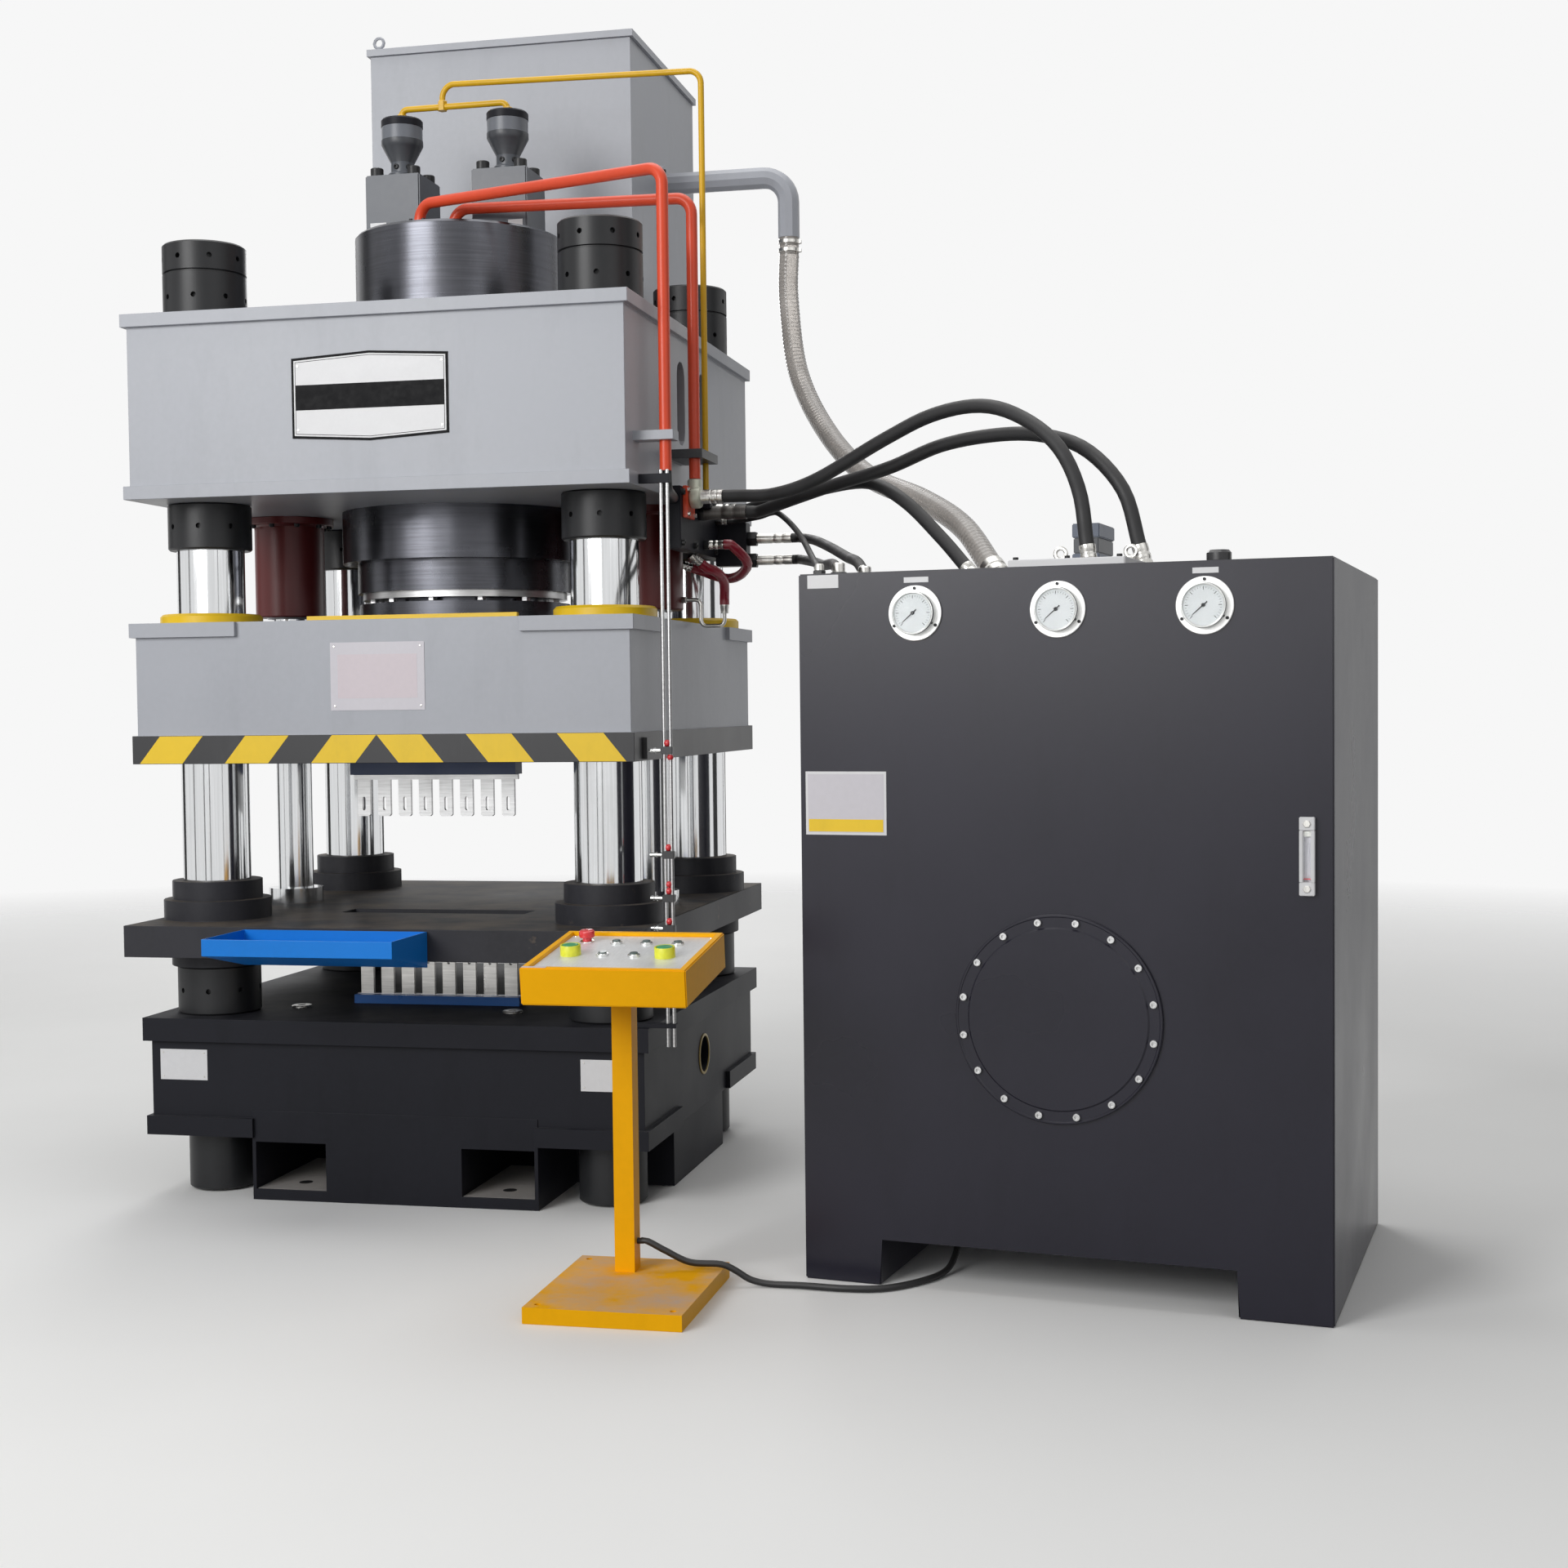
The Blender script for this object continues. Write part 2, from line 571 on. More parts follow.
def add_prism(bm, outline, low, high, matrix=None):
    """Extrude a flat outline from one height to another."""
    matrix = matrix or Matrix.Identity(4)
    bottom = [bm.verts.new(matrix @ Vector((x, y, low))) for x, y in outline]
    top = [bm.verts.new(matrix @ Vector((x, y, high))) for x, y in outline]
    bm.faces.new(list(reversed(bottom)))
    bm.faces.new(top)
    count = len(outline)
    for index in range(count):
        following = (index + 1) % count
        bm.faces.new((bottom[index], bottom[following], top[following], top[index]))


def hide_helper(obj):
    """Mark a cutter or an operand so that it isn't a piece of the machine."""
    obj.hide_render = True
    obj.display_type = "WIRE"


def combine(target, bm, operation, label):
    """Add a Boolean to the target with the shape that bm holds."""
    helper = finish_mesh(target.name + "_" + label, bm, None, target.parent)
    helper.location = target.location
    helper.rotation_euler = target.rotation_euler
    hide_helper(helper)
    modifier = target.modifiers.new(label, "BOOLEAN")
    modifier.operation = operation
    modifier.solver = "EXACT"
    modifier.object = helper
    return modifier


def cut(target, bm, label):
    """Take the shape in bm away from the target."""
    combine(target, bm, "DIFFERENCE", label)


def fuse(target, bm, label):
    """Weld the shape in bm to the target."""
    combine(target, bm, "UNION", label)


def along(origin, direction):
    """A matrix that takes +Z to the given direction at the given origin."""
    rotation = Vector(direction).to_track_quat("Z", "Y").to_matrix().to_4x4()
    return Matrix.Translation(origin) @ rotation


def corners():
    """The four column places with the words for them."""
    for depth_word, sign_y in (("front", -1), ("rear", 1)):
        for side_word, sign_x in (("left", -1), ("right", 1)):
            yield depth_word + "_" + side_word, sign_x * COLUMN_X, sign_y * COLUMN_Y


def rounded_route(points, bend, steps=4):
    """Straight runs joined by arcs of one bend radius, for a rigid pipe."""
    points = [Vector(point) for point in points]
    route = [points[0]]
    for before, corner, after in zip(points, points[1:], points[2:]):
        towards = (before - corner).normalized()
        away = (after - corner).normalized()
        half = towards.angle(away) / 2
        if half > math.radians(89):
            continue
        setback = bend / math.tan(half)
        centre = corner + (towards + away).normalized() * (bend / math.sin(half))
        start = (corner + towards * setback - centre).normalized()
        end = (corner + away * setback - centre).normalized()
        for step in range(steps + 1):
            route.append(centre + start.slerp(end, step / steps) * bend)
    route.append(points[-1])
    return route


def smooth_route(points, spacing):
    """Points at an even spacing on a smooth curve through the chosen points."""
    points = [Vector(point) for point in points]
    ends = [points[0] * 2 - points[1]] + points + [points[-1] * 2 - points[-2]]
    dense = []
    for index in range(1, len(ends) - 2):
        p0, p1, p2, p3 = ends[index - 1:index + 3]
        for step in range(20):
            dense.append(catmull_point(p0, p1, p2, p3, step / 20))
    dense.append(points[-1])
    return evenly_spaced(dense, spacing)


def straighten_ends(route, points, length):
    """Give a route a short straight stretch at each end, in line with its fittings."""
    first = (Vector(points[1]) - Vector(points[0])).normalized() * length
    last = (Vector(points[-1]) - Vector(points[-2])).normalized() * length
    return [route[0], route[0] + first] + route[1:-1] + [route[-1] - last, route[-1]]


def catmull_point(p0, p1, p2, p3, t):
    """One point of a Catmull-Rom span."""
    a = p1 * 2
    b = (p2 - p0) * t
    c = (p0 * 2 - p1 * 5 + p2 * 4 - p3) * t * t
    d = (p1 * 3 - p0 - p2 * 3 + p3) * t * t * t
    return (a + b + c + d) / 2


def evenly_spaced(dense, spacing):
    """Resample a dense line at an even spacing, ends kept."""
    lengths = [(second - first).length for first, second in zip(dense, dense[1:])]
    count = max(2, round(sum(lengths) / spacing))
    step = sum(lengths) / count
    route = [dense[0]]
    travelled = 0.0
    for first, second, length in zip(dense, dense[1:], lengths):
        while len(route) < count and travelled + length >= step * len(route):
            share = (step * len(route) - travelled) / length
            route.append(first.lerp(second, share))
        travelled += length
    route.append(dense[-1])
    return route


def tube(name, route, radius, material, sides_level=2):
    """A round solid tube along a route, as a curve with filled caps."""
    curve = bpy.data.curves.new(name, "CURVE")
    curve.dimensions = "3D"
    curve.bevel_depth = radius
    curve.bevel_resolution = sides_level
    curve.use_fill_caps = True
    spline = curve.splines.new("POLY")
    spline.points.add(len(route) - 1)
    for point, place in zip(spline.points, route):
        point.co = (*place, 1.0)
    obj = bpy.data.objects.new(name, curve)
    bpy.context.scene.collection.objects.link(obj)
    curve.materials.append(material)
    return obj


def add_tube(bm, route, radius, sides=10):
    """A round solid tube along a route, as a mesh that can be welded to others."""
    route = [Vector(place) for place in route]
    last = len(route) - 1
    tangents = [(route[min(i + 1, last)] - route[max(i - 1, 0)]).normalized() for i in range(last + 1)]
    side = tangents[0].orthogonal().normalized()
    rings = []
    for place, tangent in zip(route, tangents):
        side = (side - tangent * side.dot(tangent)).normalized()
        other = tangent.cross(side)
        ring = []
        for step in range(sides):
            angle = 2 * math.pi * step / sides
            ring.append(bm.verts.new(place + (side * math.cos(angle) + other * math.sin(angle)) * radius))
        rings.append(ring)
    for lower, upper in zip(rings, rings[1:]):
        bridge_rings(bm, lower, upper, sides)
    bm.faces.new(rings[0])
    bm.faces.new(rings[-1])


def add_sleeve(bm, route, height, radius, length, frame=None):
    """A round fitting at the given height that meets a hose's far end and runs on in its line."""
    end = Vector(route[-1])
    direction = (end - Vector(route[-2])).normalized()
    end.z = height
    matrix = along(end + direction * SEAT_GAP, direction)
    if frame is not None:
        matrix = frame.inverted() @ matrix
    add_cylinder(bm, radius, 0.0, length, matrix, SMALL_SEGMENTS)


def build_base(materials):
    """The welded base: flange, body, corner ledges, feet and fork pockets."""
    bm = bmesh.new()
    flange_bottom = BASE_HEIGHT - BASE_FLANGE_THICK
    add_box(bm, (-BASE_BODY_HALF_X, -BASE_BODY_HALF_Y, BASE_SKIRT_BOTTOM),
            (BASE_BODY_HALF_X, BASE_BODY_HALF_Y, flange_bottom + BASE_FLANGE_THICK / 2))
    base = finish_mesh("base", bm, materials["dark_paint"])

    bm = bmesh.new()
    add_box(bm, (-BASE_FLANGE_HALF_X, -BASE_FLANGE_HALF_Y, flange_bottom),
            (BASE_FLANGE_HALF_X, BASE_FLANGE_HALF_Y, BASE_HEIGHT))
    fuse(base, bm, "flange")

    bm = bmesh.new()
    add_box(bm, (-FOOT_BLOCK_HALF_X, -FOOT_BLOCK_HALF_Y, 0.0),
            (FOOT_BLOCK_HALF_X, FOOT_BLOCK_HALF_Y, BASE_SKIRT_BOTTOM + LEDGE_THICK * 1.4))
    fuse(base, bm, "foot_block")

    bm = bmesh.new()
    add_box(bm, (-BASE_BODY_HALF_X + LEDGE_PROUD, -SIDE_FOOT_HALF_Y, 0.0),
            (BASE_BODY_HALF_X - LEDGE_PROUD, SIDE_FOOT_HALF_Y, BASE_SKIRT_BOTTOM + LEDGE_THICK / 2))
    fuse(base, bm, "side_feet")

    bm = bmesh.new()
    ledge_outer = (BASE_BODY_HALF_X + LEDGE_PROUD, BASE_BODY_HALF_Y + LEDGE_PROUD)
    for sign_x in (-1, 1):
        for sign_y in (-1, 1):
            xs = sorted((sign_x * (FOOT_BLOCK_HALF_X - LEDGE_PROUD / 2), sign_x * ledge_outer[0]))
            ys = sorted((sign_y * (SIDE_FOOT_HALF_Y - LEDGE_PROUD / 2), sign_y * ledge_outer[1]))
            add_box(bm, (xs[0], ys[0], BASE_SKIRT_BOTTOM), (xs[1], ys[1], BASE_SKIRT_BOTTOM + LEDGE_THICK))
    fuse(base, bm, "ledges")

    bm = bmesh.new()
    for sign in (-1, 1):
        xs = sorted((sign * POCKET_INNER_X, sign * (POCKET_INNER_X + POCKET_WIDTH)))
        add_box(bm, (xs[0], -BASE_BODY_HALF_Y - 0.1, POCKET_FLOOR),
                (xs[1], BASE_BODY_HALF_Y + 0.1, POCKET_FLOOR + POCKET_HEIGHT))
    cut(base, bm, "fork_pockets")

    bm = bmesh.new()
    for word, x, y in corners():
        add_cylinder(bm, COLUMN_RADIUS + SEAT_GAP, -0.05, BASE_HEIGHT + 0.05, Matrix.Translation((x, y, 0)))
    anchor_x = POCKET_INNER_X + POCKET_WIDTH / 2
    anchor_y = FOOT_BLOCK_HALF_Y - ANCHOR_HOLE_INSET
    for sign_x in (-1, 1):
        for sign_y in (-1, 1):
            add_cylinder(bm, ANCHOR_HOLE_RADIUS, -0.02, POCKET_FLOOR + 0.02,
                         Matrix.Translation((sign_x * anchor_x, sign_y * anchor_y, 0)), SMALL_SEGMENTS)
    cut(base, bm, "bores")

    bm = bmesh.new()
    add_box(bm, (-CAVITY_HALF_X, -CAVITY_HALF_Y, CAVITY_FLOOR),
            (CAVITY_HALF_X, CAVITY_HALF_Y, CAVITY_FLOOR + CAVITY_HEIGHT))
    cut(base, bm, "cavity")

    bm = bmesh.new()
    reach = BASE_BODY_HALF_X + 0.05 - CAVITY_HALF_X / 2
    add_cylinder(bm, ACCESS_HOLE_RADIUS, 0.0, reach,
                 along((CAVITY_HALF_X / 2, ACCESS_HOLE_Y, ACCESS_HOLE_Z), (1, 0, 0)))
    for sign in (-1, 1):
        add_cylinder(bm, EJECTOR_ROD_RADIUS + RUNNING_GAP, CAVITY_FLOOR + CAVITY_HEIGHT - 0.02,
                     BASE_HEIGHT + 0.02, Matrix.Translation((sign * EJECTOR_ROD_X, TOOL_Y, 0)), SMALL_SEGMENTS)
    cut(base, bm, "access_hole_and_rod_bores")
    return base


def add_tommy_holes(bm, radius, height, place):
    """Radial spanner holes round a nut."""
    for step in range(TOMMY_HOLE_COUNT):
        angle = 2 * math.pi * (step + 0.25) / TOMMY_HOLE_COUNT
        direction = Vector((math.cos(angle), math.sin(angle), 0))
        start = Vector(place) + direction * (radius - TOMMY_HOLE_DEPTH) + Vector((0, 0, height))
        add_cylinder(bm, TOMMY_HOLE_RADIUS, 0.0, TOMMY_HOLE_DEPTH + 0.01,
                     along(start, direction), TOMMY_HOLE_SIDES)


def build_columns(materials):
    """Four tie columns, each with its round nuts at the base, under the crown and on the crown."""
    stop_low = BASE_HEIGHT + SEAT_GAP
    crown_nut_high = CROWN_BOTTOM - SEAT_GAP
    crown_nut_low = crown_nut_high - CROWN_NUT_HEIGHT
    top_low = CROWN_TOP + SEAT_GAP
    top_high = top_low + TOP_NUT_HEIGHT
    groove = top_low + TOP_NUT_HEIGHT * TOP_NUT_LOWER_SHARE
    groove_radius = NUT_RADIUS - TOP_NUT_GROOVE_DEPTH
    profile = [(COLUMN_RADIUS, COLUMN_FLOOR_CLEARANCE / 2)]
    for low, high in ((stop_low, stop_low + STOP_NUT_HEIGHT), (crown_nut_low, crown_nut_high)):
        profile += [(COLUMN_RADIUS, low), (NUT_RADIUS, low), (NUT_RADIUS, high), (COLUMN_RADIUS, high)]
    profile += [(COLUMN_RADIUS, top_low), (NUT_RADIUS, top_low), (NUT_RADIUS, groove),
                (groove_radius, groove), (groove_radius, groove + TOP_NUT_GROOVE_WIDTH),
                (NUT_RADIUS, groove + TOP_NUT_GROOVE_WIDTH), (NUT_RADIUS, top_high - NUT_CHAMFER),
                (NUT_RADIUS - NUT_CHAMFER, top_high), (COLUMN_RADIUS, top_high),
                (COLUMN_RADIUS, top_high - COLUMN_END_RECESS)]
    for word, x, y in corners():
        place = Matrix.Translation((x, y, 0))
        bm = bmesh.new()
        add_turned(bm, profile, place)
        column = finish_mesh("column_" + word, bm, materials["chrome"])
        bm = bmesh.new()
        for height in ((top_low + groove) / 2, (groove + top_high) / 2):
            add_tommy_holes(bm, NUT_RADIUS, height, (x, y, 0))
        cut(column, bm, "tommy_holes")


def arc_points(centre, radius, first, last, steps):
    """Points on an arc from one angle to another, both ends kept."""
    points = []
    for step in range(steps + 1):
        angle = first + (last - first) * step / steps
        points.append((centre[0] + radius * math.cos(angle), centre[1] + radius * math.sin(angle)))
    return points


def crown_cell_outline():
    """One hollow cell of the crown: between the ribs, the walls and the tubes, in the first quadrant."""
    wall_x = CROWN_HALF_X - CROWN_WALL_INSET - CROWN_WALL_THICK
    wall_y = CROWN_HALF_Y - CROWN_WALL_INSET - CROWN_WALL_THICK
    rib_angle = math.asin(CROWN_RIB_HALF / CYLINDER_TUBE_RADIUS)
    outline = arc_points((0, 0), CYLINDER_TUBE_RADIUS, math.pi / 2 - rib_angle, rib_angle, 8)
    outline.append((wall_x, CROWN_RIB_HALF))
    meeting = -math.acos((wall_x - COLUMN_X) / COLUMN_TUBE_RADIUS)
    outline += arc_points((COLUMN_X, COLUMN_Y), COLUMN_TUBE_RADIUS, meeting, -1.5 * math.pi, 8)
    outline.append((COLUMN_X - CROWN_WALL_THICK, wall_y))
    outline.append((CROWN_RIB_HALF, wall_y))
    return outline


def build_crown(materials):
    """The welded crown: a box with proud top and bottom plates, ribs, tubes and side slots."""
    wall_x = CROWN_HALF_X - CROWN_WALL_INSET
    wall_y = CROWN_HALF_Y - CROWN_WALL_INSET
    bm = bmesh.new()
    add_box(bm, (-wall_x, -wall_y, CROWN_BOTTOM + CROWN_BOTTOM_THICK / 2),
            (wall_x, wall_y, CROWN_TOP - CROWN_TOP_THICK / 2))
    crown = finish_mesh("crown", bm, materials["grey_paint"])
    bm = bmesh.new()
    add_box(bm, (-CROWN_HALF_X, -CROWN_HALF_Y, CROWN_BOTTOM),
            (CROWN_HALF_X, CROWN_HALF_Y, CROWN_BOTTOM + CROWN_BOTTOM_THICK))
    add_box(bm, (-CROWN_HALF_X, -CROWN_HALF_Y, CROWN_TOP - CROWN_TOP_THICK),
            (CROWN_HALF_X, CROWN_HALF_Y, CROWN_TOP))
    fuse(crown, bm, "plates")

    bm = bmesh.new()
    outline = crown_cell_outline()
    for sign_x in (-1, 1):
        for sign_y in (-1, 1):
            mirrored = [(sign_x * x, sign_y * y) for x, y in outline]
            add_prism(bm, mirrored, CROWN_BOTTOM + CROWN_PLATE_THICK, CROWN_TOP - CROWN_PLATE_THICK)
    cut(crown, bm, "cells")

    bm = bmesh.new()
    add_cylinder(bm, DRUM_RADIUS + SEAT_GAP, CROWN_BOTTOM - 0.05, CROWN_TOP + 0.05, segments=BIG_SEGMENTS)
    for word, x, y in corners():
        add_cylinder(bm, COLUMN_RADIUS + SEAT_GAP, CROWN_BOTTOM - 0.05, CROWN_TOP + 0.05,
                     Matrix.Translation((x, y, 0)))
    cut(crown, bm, "bores")

    bm = bmesh.new()
    outline = slot_outline(SLOT_HALF_WIDTH, SLOT_HALF_HEIGHT - SLOT_HALF_WIDTH, 5)
    for sign_x in (-1, 1):
        for sign_y in (-1, 1):
            place = along((sign_x * (wall_x - CROWN_WALL_THICK * 1.5), sign_y * SLOT_Y,
                           CROWN_BOTTOM + SLOT_LIFT), (sign_x, 0, 0))
            upright = place @ Matrix.Rotation(slot_roll(place), 4, "Z")
            add_prism(bm, outline, 0.0, CROWN_WALL_THICK * 2.5, upright)
    cut(crown, bm, "side_slots")
    build_pipe_clamps(crown, wall_x)


def build_pipe_clamps(crown, wall_x):
    """Two clamp plates welded to the crown's right side, bored for the pipes that they hold."""
    low = MANIFOLD_TOP + CLAMP_LIFT - CLAMP_THICK
    reach = PIPE_PLANE_X + CLAMP_EDGE
    bm = bmesh.new()
    add_box(bm, (wall_x - CROWN_WALL_THICK / 2, FRONT_PIPE_Y - CLAMP_EDGE, low + CLAMP_EDGE / 2),
            (reach, FRONT_PIPE_Y + CLAMP_EDGE, low + CLAMP_EDGE / 2 + CLAMP_THICK))
    add_box(bm, (wall_x - CROWN_WALL_THICK / 2, REAR_PIPE_Y - CLAMP_EDGE, low),
            (reach, PILOT_PIPE_Y + CLAMP_EDGE, low + CLAMP_THICK))
    fuse(crown, bm, "clamps")
    bm = bmesh.new()
    for y, radius in ((FRONT_PIPE_Y, PRESSURE_PIPE_RADIUS), (REAR_PIPE_Y, PRESSURE_PIPE_RADIUS),
                      (PILOT_PIPE_Y, PILOT_PIPE_RADIUS)):
        add_cylinder(bm, radius + CLAMP_CLEARANCE, low - 0.05, low + 0.10,
                     Matrix.Translation((PIPE_PLANE_X, y, 0)), SMALL_SEGMENTS)
    cut(crown, bm, "clamp_bores")


def slot_outline(radius, half_straight, steps):
    """A slot with round ends, long along its local Y."""
    outline = []
    for centre, first in ((half_straight, 0.0), (-half_straight, math.pi)):
        for step in range(steps + 1):
            angle = first + math.pi * step / steps
            outline.append((radius * math.cos(angle), centre + radius * math.sin(angle)))
    return outline


def slot_roll(place):
    """The turn about local Z that stands a slot's long side upright."""
    local_up = place.to_3x3().inverted() @ Vector((0, 0, 1))
    return math.atan2(local_up.y, local_up.x) - math.pi / 2


def build_main_cylinder(materials):
    """Main cylinder with its drum head, bolted gland ring and ram."""
    bore = RAM_RADIUS + RUNNING_GAP
    bore_top = DRUM_TOP - CYLINDER_END_THICK
    shoulder_top = CROWN_BOTTOM - SEAT_GAP
    profile = [(bore, NOSE_BOTTOM), (CYLINDER_NOSE_RADIUS, NOSE_BOTTOM),
               (CYLINDER_NOSE_RADIUS, SHOULDER_BOTTOM), (CYLINDER_SHOULDER_RADIUS, SHOULDER_BOTTOM),
               (CYLINDER_SHOULDER_RADIUS, shoulder_top), (DRUM_RADIUS, shoulder_top),
               (DRUM_RADIUS, DRUM_TOP - DRUM_CHAMFER), (DRUM_RADIUS - DRUM_CHAMFER, DRUM_TOP),
               (0.0, DRUM_TOP)]
    inside = [(0.0, bore_top), (bore, bore_top)]
    bm = bmesh.new()
    add_turned(bm, profile + inside, segments=BIG_SEGMENTS, hollow=True)
    finish_mesh("main_cylinder", bm, materials["black_steel"])

    gland_top = GLAND_BOTTOM + GLAND_THICK
    bm = bmesh.new()
    ring = [(bore, GLAND_BOTTOM), (GLAND_RADIUS, GLAND_BOTTOM), (GLAND_RADIUS, gland_top), (bore, gland_top)]
    add_turned(bm, ring, segments=BIG_SEGMENTS, hollow=True)
    gland = finish_mesh("gland_ring", bm, materials["steel"])
    bm = bmesh.new()
    bolt_circle = (GLAND_RADIUS + bore) / 2
    for step in range(GLAND_BOLT_COUNT):
        angle = 2 * math.pi * step / GLAND_BOLT_COUNT
        place = Matrix.Translation((bolt_circle * math.cos(angle), bolt_circle * math.sin(angle), 0))
        add_cylinder(bm, GLAND_BOLT_RADIUS, GLAND_BOTTOM - GLAND_BOLT_HEIGHT,
                     GLAND_BOTTOM + GLAND_THICK / 2, place, 6)
    fuse(gland, bm, "bolts")

    ram_low = SLIDE_TOP + SEAT_GAP
    bm = bmesh.new()
    profile = [(RAM_FLANGE_RADIUS, ram_low), (RAM_FLANGE_RADIUS, RAM_FLANGE_TOP),
               (RAM_RADIUS, RAM_FLANGE_TOP), (RAM_RADIUS, bore_top - RAM_TOP_GAP)]
    add_turned(bm, profile, segments=BIG_SEGMENTS)
    finish_mesh("main_ram", bm, materials["steel"])


def build_side_cylinders(materials):
    """Two maroon cylinders under the crown, whose rods run through the slide to the middle plate."""
    top = CROWN_BOTTOM - SEAT_GAP
    low = SIDE_CYLINDER_LOW
    bore = SIDE_ROD_RADIUS + RUNNING_GAP
    bore_top = top - SIDE_CYLINDER_END_THICK
    flange_low = top - SIDE_CYLINDER_FLANGE_THICK
    foot_low = PLATE_TOP + SEAT_GAP
    rod_top = bore_top - PLATE_LIFT - 0.010
    for word, sign in (("left", -1), ("right", 1)):
        place = Matrix.Translation((sign * SIDE_CYLINDER_X, 0, 0))
        body = [(bore, low), (SIDE_CYLINDER_RADIUS, low), (SIDE_CYLINDER_RADIUS, flange_low),
                (SIDE_CYLINDER_FLANGE_RADIUS, flange_low), (SIDE_CYLINDER_FLANGE_RADIUS, top),
                (0.0, top)]
        inside = [(0.0, bore_top), (bore, bore_top)]
        bm = bmesh.new()
        add_turned(bm, body + inside, place, hollow=True)
        cylinder = finish_mesh("side_cylinder_" + word, bm, materials["maroon_paint"])
        if word == "right":
            add_lift_ports(cylinder)

        rod = [(SIDE_ROD_FOOT_RADIUS, foot_low), (SIDE_ROD_FOOT_RADIUS, foot_low + SIDE_ROD_FOOT_THICK),
               (SIDE_ROD_RADIUS, foot_low + SIDE_ROD_FOOT_THICK), (SIDE_ROD_RADIUS, rod_top)]
        bm = bmesh.new()
        add_turned(bm, rod, place)
        finish_mesh("side_rod_" + word, bm, materials["chrome"])


def add_lift_ports(cylinder):
    """The bent steel tube at the lower port and the sleeve at the upper port of the right side cylinder."""
    low = SIDE_CYLINDER_LOW
    high_z = low + LIFT_TUBE_LIFT
    low_z = low - LIFT_TUBE_DIP
    route = [(LIFT_TUBE_START_X, 0, high_z), (LIFT_TUBE_MIDDLE_X, 0, high_z), (LIFT_TUBE_MIDDLE_X, 0, low_z),
             (LIFT_TUBE_END_X, 0, low_z), (LIFT_TUBE_END_X, 0, low + LIFT_TUBE_END_LIFT)]
    bm = bmesh.new()
    add_tube(bm, rounded_route(route, LIFT_TUBE_BEND), LIFT_TUBE_RADIUS, 8)
    fuse(cylinder, bm, "lower_port_tube")
    bm = bmesh.new()
    add_sleeve(bm, LIFT_HOSE_UPPER, low + LIFT_PORT_LIFT, LIFT_SLEEVE_RADIUS, LIFT_PORT_LENGTH)
    fuse(cylinder, bm, "upper_port_sleeve")


def build_slide(materials):
    """The moving slide with its striped foot band, corner plates, bores and the yellow guide covers."""
    bm = bmesh.new()
    add_box(bm, (-SLIDE_HALF_X, -SLIDE_HALF_Y, SLIDE_BOTTOM + SLIDE_BAND_HEIGHT / 2),
            (SLIDE_HALF_X, SLIDE_HALF_Y, SLIDE_TOP))
    slide = finish_mesh("slide", bm, materials["grey_paint"])
    bm = bmesh.new()
    band_x = SLIDE_HALF_X + SLIDE_BAND_PROUD
    band_y = SLIDE_HALF_Y + SLIDE_BAND_PROUD
    add_box(bm, (-band_x, -band_y, SLIDE_BOTTOM), (band_x, band_y, SLIDE_BOTTOM + SLIDE_BAND_HEIGHT))
    outer_x = SLIDE_HALF_X + CORNER_PLATE_PROUD
    outer_y = SLIDE_HALF_Y + CORNER_PLATE_PROUD
    for sign_x in (-1, 1):
        for sign_y in (-1, 1):
            xs = sorted((sign_x * outer_x, sign_x * (outer_x - CORNER_PLATE_LENGTH)))
            ys = sorted((sign_y * outer_y, sign_y * (outer_y - CORNER_PLATE_LENGTH)))
            add_box(bm, (xs[0], ys[0], SLIDE_TOP - CORNER_PLATE_THICK), (xs[1], ys[1], SLIDE_TOP))
    fuse(slide, bm, "band_and_corner_plates")
    bm = bmesh.new()
    flag_z = SENSOR_HEIGHTS[0]
    add_box(bm, (band_x - 0.01, FRONT_PIPE_Y - FLAG_WIDTH / 2, flag_z - FLAG_HEIGHT * 0.4),
            (band_x + FLAG_REACH, FRONT_PIPE_Y + FLAG_WIDTH / 2, flag_z + FLAG_HEIGHT * 0.6))
    fuse(slide, bm, "flag")

    bm = bmesh.new()
    for word, x, y in corners():
        add_cylinder(bm, COLUMN_RADIUS + RUNNING_GAP, SLIDE_BOTTOM - 0.05, SLIDE_TOP + 0.05,
                     Matrix.Translation((x, y, 0)))
    for sign in (-1, 1):
        add_cylinder(bm, SIDE_ROD_RADIUS + SIDE_ROD_CLEARANCE, SLIDE_BOTTOM - 0.05, SLIDE_TOP + 0.05,
                     Matrix.Translation((sign * SIDE_CYLINDER_X, 0, 0)))
    cut(slide, bm, "bores")

    low = SLIDE_TOP + SEAT_GAP
    inner = COLUMN_RADIUS + RUNNING_GAP
    chamfer = GUIDE_COVER_HEIGHT / 4
    ring = [(inner, low), (GUIDE_COVER_RADIUS, low), (GUIDE_COVER_RADIUS, low + GUIDE_COVER_HEIGHT - chamfer),
            (GUIDE_COVER_RADIUS - chamfer, low + GUIDE_COVER_HEIGHT), (inner, low + GUIDE_COVER_HEIGHT)]
    for word, x, y in corners():
        bm = bmesh.new()
        add_turned(bm, ring, Matrix.Translation((x, y, 0)), hollow=True)
        finish_mesh("guide_cover_" + word, bm, materials["yellow_paint"])


